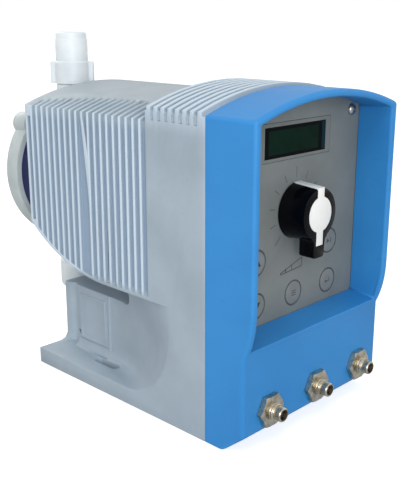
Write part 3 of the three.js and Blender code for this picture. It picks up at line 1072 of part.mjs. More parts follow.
piece(onValve, 'suction_body', suctionBody(), LIQUID_WHITE);
piece(onValve, 'suction_seal', turnedZ(ring(VALVE_BORE + 1.5, VALVE_THREAD_RADIUS,
  SUCTION_SPIGOT_HIGH + GAP, SUCTION_SPIGOT_HIGH + GAP + SEAL_HEIGHT), 16), RUBBER_BLACK);
piece(onValve, 'suction_seat', turnedZ(ring(SEAT_BORE, SEAT_RADIUS,
  SUCTION_SEAT_LOW + GAP, SUCTION_SEAT_LOW + GAP + SEAT_THICKNESS), 16), SEAT_GREY);
piece(onValve, 'suction_ball', ball(), CERAMIC,
  [0, 0, SUCTION_SEAT_LOW + GAP + SEAT_THICKNESS + BALL_HEIGHT]);
piece(onValve, 'suction_nut', turnedZ([
  [8, SUCTION_NUT_LOW], [SUCTION_NUT_RADIUS - 4, SUCTION_NUT_LOW],
  [SUCTION_NUT_RADIUS - 1.2, SUCTION_NUT_LOW + 1.2],
  [SUCTION_NUT_RADIUS, SUCTION_NUT_LOW + 4], [SUCTION_NUT_RADIUS, SUCTION_NUT_HIGH - 1],
  [SUCTION_NUT_RADIUS - 1, SUCTION_NUT_HIGH], [VALVE_NECK_RADIUS + GAP, SUCTION_NUT_HIGH],
  [VALVE_NECK_RADIUS + GAP, SUCTION_TAIL - GAP], [8, SUCTION_TAIL - GAP], [8, SUCTION_NUT_LOW],
]), LIQUID_WHITE);

export default pump;
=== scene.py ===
import math

import bmesh
import bpy
from mathutils import Matrix, Vector


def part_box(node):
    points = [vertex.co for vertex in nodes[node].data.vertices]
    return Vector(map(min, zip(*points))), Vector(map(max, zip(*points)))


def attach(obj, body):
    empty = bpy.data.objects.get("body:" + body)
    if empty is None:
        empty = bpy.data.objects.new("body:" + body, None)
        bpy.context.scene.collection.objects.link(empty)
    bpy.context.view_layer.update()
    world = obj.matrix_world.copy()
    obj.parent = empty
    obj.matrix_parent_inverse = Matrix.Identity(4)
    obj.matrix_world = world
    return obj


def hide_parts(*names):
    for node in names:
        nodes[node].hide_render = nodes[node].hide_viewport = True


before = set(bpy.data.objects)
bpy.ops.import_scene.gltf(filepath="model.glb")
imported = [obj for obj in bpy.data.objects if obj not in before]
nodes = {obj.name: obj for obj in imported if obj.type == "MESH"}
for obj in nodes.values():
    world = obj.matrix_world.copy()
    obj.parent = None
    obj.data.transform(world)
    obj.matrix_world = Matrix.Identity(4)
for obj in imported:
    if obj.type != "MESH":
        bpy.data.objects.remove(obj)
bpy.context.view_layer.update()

# Looks of a diaphragm metering pump around its CAD frame.

MM = 0.001


def centre(node):
    """Middle of a node's box, in millimetres."""
    low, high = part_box(node)
    return (Vector(low) + Vector(high)) / 2 / MM


def face(node, side, axis):
    """Lowest (0) or highest (1) coordinate of a node along an axis, in millimetres."""
    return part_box(node)[side][axis] / MM


PANEL_FACE = face("lcd_window", 0, 1)
AXIS_Z = centre("stroke_spindle").z
VALVE_Y = centre("discharge_ball").y

# The casting has ridges over its front block and fins behind it. Each set follows an arch.
CASTING_HALF_WIDTH = 80
FRONT_BLOCK_END = face("drive_housing", 0, 1) + 57
FRONT_ARCH_CENTRE = 9.4
RIDGE_RADIUS = face("drive_housing", 1, 2) - FRONT_ARCH_CENTRE
RIDGE_FOOT_Z = 215
RIDGE_RUN_OUT = 22
REAR_ARCH_CENTRE = 13.2
REAR_ARCH_RADIUS = 223.6
FIN_FOOT_Z = 94
FIN_RUN_OUT = 4
FIN_DEPTH = 3
SHOULDER_Z = 212
SHOULDER_BLEND = 6

# The groove between the rear wall and the first fin: its height, and its two sides before the rear wall
REAR_GROOVE_LOW_Z = 128
REAR_GROOVE_HIGH_Z = 213
REAR_GROOVE_START = 6.7
REAR_GROOVE_END = 2.5

# How strongly painted shade darkens the grooves above the rear shoulder, and on the front block
SHADE_ABOVE_SHOULDER = 0.12
SHADE_IN_FRONT = 0.35


# Shader nodes

def srgb(code):
    """A hex colour as linear red, green, blue and alpha."""
    channels = [int(code[i:i + 2], 16) / 255 for i in (1, 3, 5)]
    return [c / 12.92 if c <= 0.04045 else ((c + 0.055) / 1.055) ** 2.4 for c in channels] + [1]


def add(tree, kind, inputs=None, **settings):
    """Adds a shader node. An input is a value, or another node's output socket to link."""
    made = tree.nodes.new("ShaderNode" + kind)
    for name, value in settings.items():
        setattr(made, name, value)
    for name, value in (inputs or {}).items():
        if isinstance(value, bpy.types.NodeSocket):
            tree.links.new(value, made.inputs[name])
        else:
            made.inputs[name].default_value = value
    return made


def calculate(tree, operation, *values):
    """Result of a math node."""
    return add(tree, "Math", dict(enumerate(values)), operation=operation).outputs[0]


def remap(tree, value, low, high, least=0.0, most=1.0):
    """A value with its range low to high turned into least to most, and kept inside it."""
    ranges = {"Value": value, "From Min": low, "From Max": high, "To Min": least, "To Max": most}
    return add(tree, "MapRange", ranges).outputs[0]


def blend(tree, amount, first, second):
    """Colour between two colours."""
    return add(tree, "Mix", {0: amount, 6: first, 7: second}, data_type="RGBA").outputs[2]


def between(tree, amount, first, second):
    """Number between two numbers."""
    return add(tree, "Mix", {0: amount, 2: first, 3: second}, data_type="FLOAT").outputs[0]


def noise(tree, place, size_mm, detail):
    """Noise whose patches have a real size."""
    return add(tree, "TexNoise", {"Vector": place, "Scale": 1000 / size_mm, "Detail": detail}).outputs[0]


def material(name, **shader):
    """A new material with one Principled shader, and its tree, shader and object coordinates."""
    made = bpy.data.materials.new(name)
    made.use_nodes = True
    tree = made.node_tree
    tree.nodes.clear()
    principled = add(tree, "BsdfPrincipled", shader)
    output = add(tree, "OutputMaterial")
    tree.links.new(principled.outputs[0], output.inputs[0])
    place = add(tree, "TexCoord").outputs["Object"]
    return made, tree, principled, place


def mottle(tree, place, size_mm, dark, light):
    """Colour that drifts between two tones over patches of a real size."""
    amount = remap(tree, noise(tree, place, size_mm, 3.0), 0.35, 0.65)
    return blend(tree, amount, srgb(dark), srgb(light))


def colour(tree, shader, value):
    """Gives a shader its base colour."""
    tree.links.new(value, shader.inputs["Base Color"])


def grain(tree, shader, place, size_mm, height_mm):
    """Fine surface texture of a real grain size and height."""
    bumps = noise(tree, place, size_mm, 2.0)
    bump = add(tree, "Bump", {"Height": bumps, "Strength": 1.0, "Distance": height_mm * MM})
    tree.links.new(bump.outputs[0], shader.inputs["Normal"])


def gloss_drift(tree, shader, place, size_mm, least, most):
    """Roughness that drifts between two values over patches of a real size."""
    rough = remap(tree, noise(tree, place, size_mm, 4.0), 0.3, 0.7, least, most)
    tree.links.new(rough, shader.inputs["Roughness"])


def plain_finish(name, dark, light, rough, grain_mm, height_mm, patch_mm=18, **shader):
    """Moulded, cast or turned surface: two close tones, drifting gloss and a fine grain."""
    made, tree, principled, place = material(name, **shader)
    colour(tree, principled, mottle(tree, place, patch_mm, dark, light))
    gloss_drift(tree, principled, place, patch_mm * 0.6, rough - 0.05, rough + 0.05)
    grain(tree, principled, place, grain_mm, height_mm)
    return made


# Materials

FILM_TONES = ("#727877", "#7b8180")


def groove_depth(tree, place):
    """Four numbers about a point of the casting: how far it lies inside the outer skin, in metres; 1 where
    fins or ridges are; how strongly painted shade darkens the grooves there; and 1 behind the front block."""
    x, y, z = add(tree, "SeparateXYZ", {"Vector": place}).outputs
    side = calculate(tree, "ABSOLUTE", x)
    side = calculate(tree, "SUBTRACT", CASTING_HALF_WIDTH * MM, side)
    behind = calculate(tree, "GREATER_THAN", y, FRONT_BLOCK_END * MM)
    depths = []
    for middle, radius in ((FRONT_ARCH_CENTRE, RIDGE_RADIUS), (REAR_ARCH_CENTRE, REAR_ARCH_RADIUS)):
        rise = calculate(tree, "SUBTRACT", z, middle * MM)
        flat = add(tree, "CombineXYZ", {"X": x, "Z": rise})
        reach = add(tree, "VectorMath", {0: flat.outputs[0]}, operation="LENGTH").outputs["Value"]
        depths.append(calculate(tree, "SUBTRACT", radius * MM, reach))
    below = between(tree, behind, depths[0], depths[1])
    depth = calculate(tree, "MINIMUM", side, below)
    ridges = remap(tree, z, RIDGE_FOOT_Z * MM, (RIDGE_FOOT_Z + RIDGE_RUN_OUT) * MM)
    fins = remap(tree, z, FIN_FOOT_Z * MM, (FIN_FOOT_Z + FIN_RUN_OUT) * MM)
    zone = between(tree, behind, ridges, fins)
    shade = remap(tree, z, SHOULDER_Z * MM, (SHOULDER_Z + SHOULDER_BLEND) * MM, 1.0, SHADE_ABOVE_SHOULDER)
    shade = between(tree, behind, SHADE_IN_FRONT, shade)
    return depth, zone, shade, behind


def above_shoulder(tree, place):
    """1 above the casting's shoulder, 0 below."""
    height = add(tree, "SeparateXYZ", {"Vector": place}).outputs[2]
    return remap(tree, height, (SHOULDER_Z - SHOULDER_BLEND) * MM, SHOULDER_Z * MM)


def painted_casting():
    """Die-cast aluminium with a thin blue-grey paint: fine orange peel and faint clouds, lighter on the
    crests of fins and ridges, partly wear and partly a painted highlight, with painted shade that makes the
    bottoms of the grooves darker and bluer, and painted shade that makes the up-facing crown greyer and
    darker."""
    made, tree, principled, place = material(
        "painted_die_cast_aluminium", **{"IOR": 1.5, "Specular IOR Level": 0.4})
    clouds = mottle(tree, place, 45, "#9aa9b5", "#a5b4c0")
    specks = remap(tree, noise(tree, place, 2.2, 3.0), 0.62, 0.75, 0.0, 0.35)
    dusty = blend(tree, specks, clouds, srgb("#8e9ba6"))
    depth, zone, shade, behind = groove_depth(tree, place)
    # Crests of fins and ridges painted lighter: partly wear, partly a painted highlight
    crest = remap(tree, depth, 0.0009, 0.0002, 0.0, 0.9)
    crest = calculate(tree, "MULTIPLY", crest, zone)
    # Painted shade: the bottoms of the grooves turn darker and bluer
    groove_painted_shade = remap(tree, depth, 0.0005, 0.0028, 0.0, 0.85)
    groove_painted_shade = calculate(tree, "MULTIPLY", groove_painted_shade, zone)
    groove_painted_shade = calculate(tree, "MULTIPLY", groove_painted_shade, shade)
    crest_wear_and_highlight = blend(tree, crest, dusty, srgb("#c9d9e6"))
    shaded = blend(tree, groove_painted_shade, crest_wear_and_highlight, srgb("#889db4"))
    # Painted shade: up-facing surfaces of the crown behind the front block turn darker and greyer
    upward = add(tree, "SeparateXYZ", {"Vector": add(tree, "NewGeometry").outputs["Normal"]}).outputs[2]
    upward = remap(tree, upward, 0.45, 0.95, 0.0, 0.6)
    crown = calculate(tree, "MULTIPLY", behind, above_shoulder(tree, place))
    crown_painted_shade = calculate(tree, "MULTIPLY", upward, crown)
    colour(tree, principled, blend(tree, crown_painted_shade, shaded, srgb("#7e898b")))
    gloss_drift(tree, principled, place, 25, 0.44, 0.58)
    grain(tree, principled, place, 0.9, 0.02)
    return made


def moulded_hood():
    """Injection-moulded ABS in sky blue with a spark-eroded grain: soft sheen and a few faint scuffs."""
    made, tree, principled, place = material("moulded_blue_abs", **{"IOR": 1.54, "Specular IOR Level": 0.3})
    clouds = mottle(tree, place, 60, "#2d82c6", "#348bcf")
    scratches = add(tree, "Mapping", {"Vector": place, "Scale": (40, 40, 320), "Rotation": (0, 0.5, 0.2)})
    streaks = add(tree, "TexNoise", {"Vector": scratches.outputs[0], "Scale": 1.6, "Detail": 4.0})
    scuffs = remap(tree, streaks.outputs[0], 0.66, 0.74, 0.0, 0.3)
    colour(tree, principled, blend(tree, scuffs, clouds, srgb("#2a70b2")))
    gloss_drift(tree, principled, place, 30, 0.45, 0.56)
    grain(tree, principled, place, 0.7, 0.018)
    return made


def panel_film():
    """Matt polyester film over the panel plate: mid grey, faintly cloudy, with a fine velvet grain."""
    made, tree, principled, place = material(
        "matt_polyester_film", **{"IOR": 1.57, "Specular IOR Level": 0.3})
    colour(tree, principled, mottle(tree, place, 30, *FILM_TONES))
    gloss_drift(tree, principled, place, 20, 0.42, 0.52)
    grain(tree, principled, place, 0.5, 0.01)
    return made


def inside(tree, across, spans):
    """1 inside a rectangle given as {axis: (low, high)} in metres."""
    tests = []
    for axis, (low, high) in spans.items():
        tests.append(calculate(tree, "GREATER_THAN", across.outputs[axis], low))
        tests.append(calculate(tree, "LESS_THAN", across.outputs[axis], high))
    whole = tests[0]
    for test in tests[1:]:
        whole = calculate(tree, "MULTIPLY", whole, test)
    return whole


def display_glass():
    """Acrylic display window: its rim is masked in the film's grey, then comes black, then dark green glass,
    and a slightly paler strip stands at the right end."""
    made, tree, principled, place = material(
        "acrylic_display_window", **{"IOR": 1.49, "Roughness": 0.2, "Specular IOR Level": 0.06})
    low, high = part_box("lcd_window")
    width = (high[0] - low[0]) / MM
    across = add(tree, "SeparateXYZ", {"Vector": place})

    def within(left, right, bottom, top):
        """1 where a point lies further inside the window than these distances from its edges."""
        return inside(tree, across, {0: (low[0] + left * MM, high[0] - right * MM),
                                     2: (low[2] + bottom * MM, high[2] - top * MM)})

    green = mottle(tree, place, 25, "#021a10", "#04241a")
    film = mottle(tree, place, 30, *FILM_TONES)
    black = blend(tree, within(2, 5.6, 2.2, 2.6), film, srgb("#020406"))
    glass = blend(tree, within(6, 14, 4.6, 5.2), black, green)
    strip = blend(tree, within(width - 9.8, 6.2, 3.2, 3.6), glass, srgb("#0b2b33"))
    colour(tree, principled, strip)
    return made


def natural_plastic():
    """Turned polypropylene and PVDF, unpigmented: milky white that lets a little light in."""
    made, tree, principled, place = material(
        "natural_white_pvdf", **{"IOR": 1.49, "Subsurface Weight": 0.25, "Subsurface Scale": 0.002,
                                 "Subsurface Radius": (1.0, 1.0, 0.9)})
    colour(tree, principled, mottle(tree, place, 16, "#dfe8ec", "#e9f0f3"))
    gloss_drift(tree, principled, place, 8, 0.3, 0.42)
    grain(tree, principled, place, 1.2, 0.012)
    return made


def nickel_brass():
    """Nickel-plated brass: warm pale metal, with duller patches where it was handled."""
    made, tree, principled, place = material("nickel_plated_brass", **{"Metallic": 1.0})
    colour(tree, principled, mottle(tree, place, 5, "#aba290", "#cbc4b2"))
    gloss_drift(tree, principled, place, 3, 0.2, 0.38)
    grain(tree, principled, place, 0.6, 0.012)
    return made


CASTING = painted_casting()
HOOD = moulded_hood()
FILM = panel_film()
GLASS = display_glass()
NATURAL = natural_plastic()
PLATED = nickel_brass()
# Polished phenolic resin of the knob: deep black that mirrors the lamps softly
KNOB = plain_finish("polished_black_phenolic", "#030406", "#07080c", 0.13, 1.5, 0.003,
                    **{"IOR": 1.6, "Specular IOR Level": 0.1})
# ABS let into the knob: an even satin white
WHITE = plain_finish("satin_white_abs", "#eceeed", "#f1f3f2", 0.4, 0.8, 0.008, IOR=1.54)
# Key tops in the panel's polyester film: the same grey, a touch warmer and smoother
KEY = plain_finish("matt_key_film", "#737877", "#7c8180", 0.45, 0.5, 0.01, 9,
                   **{"IOR": 1.57, "Specular IOR Level": 0.35})
# Screen-printed ink on the film: flat dark grey
INK = plain_finish("printed_grey_ink", "#3c4245", "#474d50", 0.5, 0.4, 0.004, 6, IOR=1.5)
# The same kind of ink for the arrows: nearly black, a little smoother
BLACK_INK = plain_finish("printed_black_ink", "#121415", "#1b1d1e", 0.45, 0.4, 0.004, 6, IOR=1.5)
# Polypropylene pigmented navy, for the flange: deep blue with a soft sheen
NAVY = plain_finish("moulded_navy_polypropylene", "#0d1547", "#121b55", 0.42, 1.0, 0.015,
                    **{"IOR": 1.49, "Specular IOR Level": 0.3})
# Milled polypropylene of the head: the valves' milky white painted greyer as painted shade, and less
# translucent
HEAD_WHITE_PAINTED_SHADE = plain_finish("natural_polypropylene_painted_shade", "#b2bdbe", "#bfc9c9", 0.4, 1.4, 0.015, IOR=1.49)
# Zinc-plated steel of screws, spindle, rod and spring: bright grey metal with blurred reflections
SCREW = plain_finish("zinc_plated_steel", "#9ea1a2", "#b9bbba", 0.36, 0.5, 0.02, 4, Metallic=1.0)
# Moulded polyamide in the sockets: brownish black
SHADOW_BLACK = plain_finish("moulded_black_insert", "#17120f", "#2a211b", 0.5, 0.6, 0.01, 5, IOR=1.5)
# Nitrile rubber of gasket, seals and diaphragm: dull black
RUBBER = plain_finish("black_nitrile_rubber", "#121314", "#1c1d1e", 0.78, 0.7, 0.02, 12, IOR=1.52)
# Turned steel of the magnet: dark grey metal with soft reflections
STEEL = plain_finish("turned_magnet_steel", "#5b5f63", "#73777b", 0.34, 0.8, 0.012, 14, Metallic=1.0)
# Sintered bronze of bushes and sleeve: dull brown-yellow metal
BRONZE = plain_finish("sintered_bronze", "#94703f", "#ab8750", 0.45, 0.5, 0.02, 5, Metallic=1.0)
# Enamelled copper wire of the coil: red-brown, with the deepest grain of all
COPPER = plain_finish("enamelled_copper_winding", "#94502b", "#b3683c", 0.35, 1.1, 0.06, 8, Metallic=0.8)
# Circuit boards under solder mask: satin mid green
BOARD = plain_finish("green_circuit_board", "#1b5334", "#236340", 0.4, 0.7, 0.01, 12, IOR=1.5)
# Moulded polymer of valve seats, diaphragm core and bleed plug: satin pale grey
SEAT = plain_finish("moulded_grey_seat", "#aeb3ae", "#c0c4bf", 0.42, 0.8, 0.01, 6, IOR=1.49)
# Polished ceramic of the valve balls: glossy cream white
CERAMIC = plain_finish("polished_ceramic", "#ebe7da", "#f3f0e6", 0.12, 1.0, 0.002, 5, IOR=1.76)

# Finishes of the pieces that are the CAD's own meshes
NODE_FINISH = {
    "hood_gasket": RUBBER, "control_panel": FILM, "lcd_window": GLASS, "lcd_module": BOARD,
    "control_board": BOARD, "stroke_spindle": SCREW, "spindle_bush": BRONZE, "power_board": BOARD,
    "magnet_can": STEEL, "magnet_cover": STEEL, "magnet_coil": COPPER, "guide_sleeve": BRONZE,
    "magnet_pole": STEEL, "rear_bush": BRONZE, "armature": STEEL, "push_rod": SCREW,
    "diaphragm_core": SEAT, "return_spring": SCREW, "stop_guide": BRONZE, "stroke_stop": STEEL,
    "diaphragm": RUBBER, "discharge_seal": RUBBER, "discharge_seat": SEAT, "discharge_ball": CERAMIC,
    "suction_seal": RUBBER, "suction_seat": SEAT, "suction_ball": CERAMIC,
}
for name, finish in NODE_FINISH.items():
    mesh = nodes[name].data
    mesh.materials.clear()
    mesh.materials.append(finish)


# Shapes

FRONTWARDS = Matrix.Rotation(math.radians(90), 4, "X")
REARWARDS = Matrix.Rotation(math.radians(-90), 4, "X")
UPRIGHT = Matrix.Identity(4)
X_AND_Z_SWAPPED = Matrix(((0, 0, 1, 0), (0, 1, 0, 0), (1, 0, 0, 0), (0, 0, 0, 1)))
FLAT_ANGLE = math.radians(0.5)


def turned(profile, segments):
    """Closed solid turned about Z from a profile of (radius, height)."""
    shape = bmesh.new()
    chain = [shape.verts.new((radius, 0, height)) for radius, height in profile]
    edges = [shape.edges.new(pair) for pair in zip(chain, chain[1:])]
    bmesh.ops.spin(shape, geom=chain + edges, cent=(0, 0, 0), axis=(0, 0, 1), angle=2 * math.pi,
                   steps=segments, use_merge=True, dvec=(0, 0, 0))
    bmesh.ops.remove_doubles(shape, verts=shape.verts, dist=1e-4)
    bmesh.ops.recalc_face_normals(shape, faces=shape.faces)
    return shape


def prism(outline, low, high):
    """Outline of (x, y) points extruded along Z."""
    shape = bmesh.new()
    base = shape.faces.new([shape.verts.new((x, y, low)) for x, y in outline])
    walls = bmesh.ops.extrude_face_region(shape, geom=[base])
    moved = [v for v in walls["geom"] if isinstance(v, bmesh.types.BMVert)]
    bmesh.ops.translate(shape, verts=moved, vec=(0, 0, high - low))
    bmesh.ops.recalc_face_normals(shape, faces=shape.faces)
    return shape


def rectangle(left, right, bottom, top):
    """Corners of a rectangle."""
    return [(left, bottom), (right, bottom), (right, top), (left, top)]


def arc(radius, start, end, steps, middle):
    """Points on an arc between two angles in degrees."""
    points = []
    for i in range(steps + 1):
        angle = math.radians(start + (end - start) * i / steps)
        points.append((middle[0] + radius * math.cos(angle), middle[1] + radius * math.sin(angle)))
    return points


def soften(shape, width, segments, angle, where=None):
    """Rounds the edges that are sharper than an angle, all of them or those whose middle passes a test."""
    sharp = [e for e in shape.edges if e.is_manifold and e.calc_face_angle(0) > math.radians(angle)]
    if where:
        sharp = [e for e in sharp if where((e.verts[0].co + e.verts[1].co) / 2)]
    bmesh.ops.bevel(shape, geom=sharp, offset=width, offset_type="OFFSET", segments=segments,
                    profile=0.5, affect="EDGES", clamp_overlap=False, material=-1)
    return shape


def as_object(shape, name="part"):
    """Object made of a shape, which is used up."""
    mesh = bpy.data.meshes.new(name)
    shape.to_mesh(mesh)
    shape.free()
    made = bpy.data.objects.new(name, mesh)
    bpy.context.collection.objects.link(made)
    return made


def combined(shape, other, operation, whole_faces=True):
    """Two solids joined, cut or crossed. Its flat faces are made whole, or left in triangles."""
    base = as_object(shape)
    tool = as_object(other)
    change = base.modifiers.new("change", "BOOLEAN")
    change.operation = operation
    change.solver = "EXACT"
    change.object = tool
    result = bmesh.new()
    result.from_object(base, bpy.context.evaluated_depsgraph_get())
    for used in (base, tool):
        mesh = used.data
        bpy.data.objects.remove(used)
        bpy.data.meshes.remove(mesh)
    bmesh.ops.remove_doubles(result, verts=result.verts, dist=1e-4)
    if whole_faces:
        bmesh.ops.dissolve_limit(result, angle_limit=FLAT_ANGLE, verts=result.verts, edges=result.edges)
    else:
        bmesh.ops.triangulate(result, faces=result.faces)
    return result


def joined(shape, other):
    """Two solids kept whole in one mesh."""
    mesh = bpy.data.meshes.new("joined")
    other.to_mesh(mesh)
    other.free()
    shape.from_mesh(mesh)
    bpy.data.meshes.remove(mesh)
    return shape


def piece(name, shape, finish, body, place=(0, 0, 0), turn=UPRIGHT, stands_for=(), angle=32):
    """Places a shape in millimetres as a finished piece that rides on a body."""
    shape.transform(Matrix.Scale(MM, 4) @ Matrix.Translation(Vector(place)) @ turn)
    made = as_object(shape, name)
    for polygon in made.data.polygons:
        polygon.use_smooth = True
    made.data.set_sharp_from_angle(angle=math.radians(angle))
    made.data.materials.append(finish)
    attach(made, body)
    if stands_for:
        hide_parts(*stands_for)
    return made


def casting_of(node):
    """A node's own mesh in millimetres, merged, with its flat faces whole."""
    shape = bmesh.new()
    shape.from_mesh(nodes[node].data)
    bmesh.ops.scale(shape, vec=(1 / MM, 1 / MM, 1 / MM), verts=shape.verts)
    bmesh.ops.remove_doubles(shape, verts=shape.verts, dist=2e-3)
    bmesh.ops.dissolve_limit(shape, angle_limit=FLAT_ANGLE, verts=shape.verts, edges=shape.edges)
    return shape


# Housing

RIM_ROUNDING = 1.1
CASTING_ROUNDING = 0.55
CLOSE = 0.01


def housing_casting():
    """Casting with one more groove between its rear wall and the first fin, a well rounded rim at the hood,
    and its other edges rounded as the mould leaves them."""
    shape = casting_of("drive_housing")
    rear = face("drive_housing", 1, 1)
    side = face("drive_housing", 1, 0)
    rim = face("drive_housing", 0, 1)

    def on_rim(middle):
        """Whether an edge is on the rim, at the sides or the top."""
        return middle.y < rim + CLOSE and (abs(middle.x) > side - CLOSE or middle.z > RIDGE_FOOT_Z)

    for out in (-1, 1):
        near, far = sorted((out * (side - FIN_DEPTH), out * (side + 5)))
        outline = rectangle(near, far, rear - REAR_GROOVE_START, rear - REAR_GROOVE_END)
        slot = prism(outline, REAR_GROOVE_LOW_Z, REAR_GROOVE_HIGH_Z)
        shape = combined(shape, slot, "DIFFERENCE")
    soften(shape, RIM_ROUNDING, 3, 60, on_rim)
    soften(shape, CASTING_ROUNDING, 2, 35, lambda m: m.y > rim + 1.2)
    crowded = [f for f in shape.faces if len(f.verts) > 4]
    bmesh.ops.triangulate(shape, faces=crowded, ngon_method="EAR_CLIP")
    low, high = (Vector(corner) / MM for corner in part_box("drive_housing"))
    for vert in shape.verts:
        vert.co = [min(max(here, least), most) for here, least, most in zip(vert.co, low, high)]
    return shape


piece("housing_casting", housing_casting(), CASTING, "pump_body", stands_for=["drive_housing"])


# Hood: generous rounding on the visor and the lower front, small elsewhere

HOOD_HIGH = Vector(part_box("front_hood")[1]) / MM
SOCKET_REACH = 13.8
LOWER_FRONT = face("socket_shell_left", 0, 1) + SOCKET_REACH
HOOD_ROUNDING = 4.0


def hood_edge(middle, steep):
    """Rounding of the hood's edge at a place, in millimetres."""
    side = abs(middle.x) > HOOD_HIGH.x - 0.5
    if middle.y > HOOD_HIGH.y - 0.5:
        return 0.4
    if middle.y > PANEL_FACE - 0.6:
        return 0.3
    if middle.z < 30 and not side:
        return 1.5
    if side and middle.z < 73 and steep:
        return HOOD_ROUNDING
    if middle.y < LOWER_FRONT - 0.3 or side:
        return 2.2 if middle.z > 70 else 2.5
    return 1.5


def rounded_hood():
    """Hood whose edges are rounded by a modifier, each to its own width."""
    shape = casting_of("front_hood")
    weight = shape.edges.layers.float.new("bevel_weight_edge")
    for edge in shape.edges:
        if edge.is_manifold and edge.calc_face_angle(0) > math.radians(25):
            middle = (edge.verts[0].co + edge.verts[1].co) / 2
            along = (edge.verts[0].co - edge.verts[1].co).normalized()
            edge[weight] = hood_edge(middle, abs(along.z) > 0.9) / HOOD_ROUNDING
    made = piece("hood_shell", shape, HOOD, "pump_body", stands_for=["front_hood"])
    rounding = made.modifiers.new("rounding", "BEVEL")
    rounding.limit_method = "WEIGHT"
    rounding.width = HOOD_ROUNDING * MM
    rounding.segments = 4
    rounding.use_clamp_overlap = False


rounded_hood()


# Stroke knob: cup with a pointer lug, and the white marker let into both

KNOB_BACK = PANEL_FACE - face("stroke_knob", 1, 1)
KNOB_FACE = PANEL_FACE - face("stroke_knob", 0, 1)
KNOB_FOOT_RADIUS = face("stroke_knob", 1, 0)
KNOB_FACE_RADIUS = KNOB_FOOT_RADIUS - 1.8
HUB_RADIUS = 12
SPINDLE_HOLE_RADIUS = 4.3
LUG_REACH = AXIS_Z - face("stroke_knob", 0, 2)
LUG_HALF = 6.2
LUG_FILLET = 5
LUG_CORNER = 2.5
MARKER_RADIUS = 12.7
MARKER_HALF = 3.6
MARKER_DEPTH = 1.8
MARKER_PROUD = 0.3
CUTTER_PROUD = 3


def knob_marker(clearance=0.0):
    """Marker: a disc, a strip across the knob's face and a bar along its side. With a clearance it is the
    cutter for its own recess, wider and further proud."""
    proud = CUTTER_PROUD if clearance else MARKER_PROUD
    back = KNOB_FACE - MARKER_DEPTH
    front = KNOB_FACE + proud
    radius = MARKER_RADIUS + clearance
    disc = turned([(0, back), (radius, back), (radius, front), (0, front)], 72)
    half = MARKER_HALF + clearance
    strip = prism(rectangle(-half, half, -22.3 - clearance, 17), back, front)
    foot = KNOB_BACK + 0.3
    slope = [(foot, KNOB_FOOT_RADIUS - MARKER_DEPTH), (back, KNOB_FACE_RADIUS - MARKER_DEPTH),
             (front, KNOB_FACE_RADIUS - MARKER_DEPTH), (front, KNOB_FACE_RADIUS + proud),
             (foot, KNOB_FOOT_RADIUS + proud)]
    bar = prism(slope, -half, half)
    bar.transform(X_AND_Z_SWAPPED)
    bmesh.ops.recalc_face_normals(bar, faces=bar.faces)
    return combined(combined(disc, strip, "UNION"), bar, "UNION")


def knob_shell():
    """Slightly tapered cup with a lug on fillets, and the marker's recess cut into it."""
    inner = KNOB_FACE - 4
    profile = [(0, inner), (0, KNOB_FACE), (KNOB_FACE_RADIUS - 1.2, KNOB_FACE),
               (KNOB_FACE_RADIUS - 0.35, KNOB_FACE - 0.35), (KNOB_FACE_RADIUS, KNOB_FACE - 1.2),
               (KNOB_FOOT_RADIUS - 0.5, 3), (KNOB_FOOT_RADIUS, KNOB_BACK + 0.4),
               (KNOB_FOOT_RADIUS - 0.4, KNOB_BACK), (HUB_RADIUS, KNOB_BACK), (HUB_RADIUS, KNOB_BACK + 4),
               (SPINDLE_HOLE_RADIUS, KNOB_BACK + 4), (SPINDLE_HOLE_RADIUS, inner), (0, inner)]
    cup = turned(profile, 96)
    reach = KNOB_FACE_RADIUS + LUG_FILLET
    across = LUG_HALF + LUG_FILLET
    down = -math.sqrt(reach ** 2 - across ** 2)
    lean = math.degrees(math.atan2(-down, -across))
    fillet = arc(LUG_FILLET, lean, 180, 6, (across, down))
    corner = arc(LUG_CORNER, 0, -90, 5, (LUG_HALF - LUG_CORNER, -LUG_REACH + LUG_CORNER))
    half = fillet + corner
    outline = [(-5, -8)] + [(-x, y) for x, y in half] + [(x, y) for x, y in reversed(half)] + [(5, -8)]
    lug = prism(outline, KNOB_FACE - 12.6, KNOB_FACE - 0.02)
    soften(lug, 0.6, 2, 50, lambda m: m.y < down and m.z > KNOB_FACE - 2 or m.y < -LUG_REACH + 1)
    body = combined(cup, lug, "UNION")
    return combined(body, knob_marker(0.15), "DIFFERENCE")


piece("knob_shell", knob_shell(), KNOB, "knob", (0, PANEL_FACE, AXIS_Z), FRONTWARDS,
      ["stroke_knob"], 40)
piece("knob_inlay", soften(knob_marker(), 0.2, 2, 50), WHITE, "knob",
      (0, PANEL_FACE, AXIS_Z), FRONTWARDS, ["knob_marker"])


# Keys: low domed caps with a flange behind the plate, and what is printed on and round them

KEY_RADIUS = 8.7
KEY_FLANGE_RADIUS = 10.2
PRINT_HEIGHT = 0.05


def key_cap(proud, back):
    """Domed cap that stands proud of the panel and ends in a flange behind it."""
    return turned([(0, proud), (KEY_RADIUS * 0.6, proud - 0.05), (KEY_RADIUS - 0.6, proud - 0.12),
                   (KEY_RADIUS - 0.15, proud - 0.3), (KEY_RADIUS, proud - 0.55), (KEY_RADIUS, -back),
                   (KEY_FLANGE_RADIUS, -back), (KEY_FLANGE_RADIUS, -back - 1), (0, -back - 1)], 64)


def ring(radius, width, high):
    """Flat printed ring."""
    outer = radius + width
    return turned([(radius, 0), (outer, 0), (outer, high), (radius, high), (radius, 0)], 72)


def flat_print(outlines, low, high):
    """Several printed outlines as one thin shape."""
    whole = bmesh.new()
    for outline in outlines:
        joined(whole, prism(outline, low, high))
    return whole


def line(a, b, width):
    """Outline of a straight printed line."""
    start, end = Vector(a), Vector(b)
    across = (end - start).orthogonal().normalized() * width / 2
    return [tuple(start - across), tuple(end - across), tuple(end + across), tuple(start + across)]


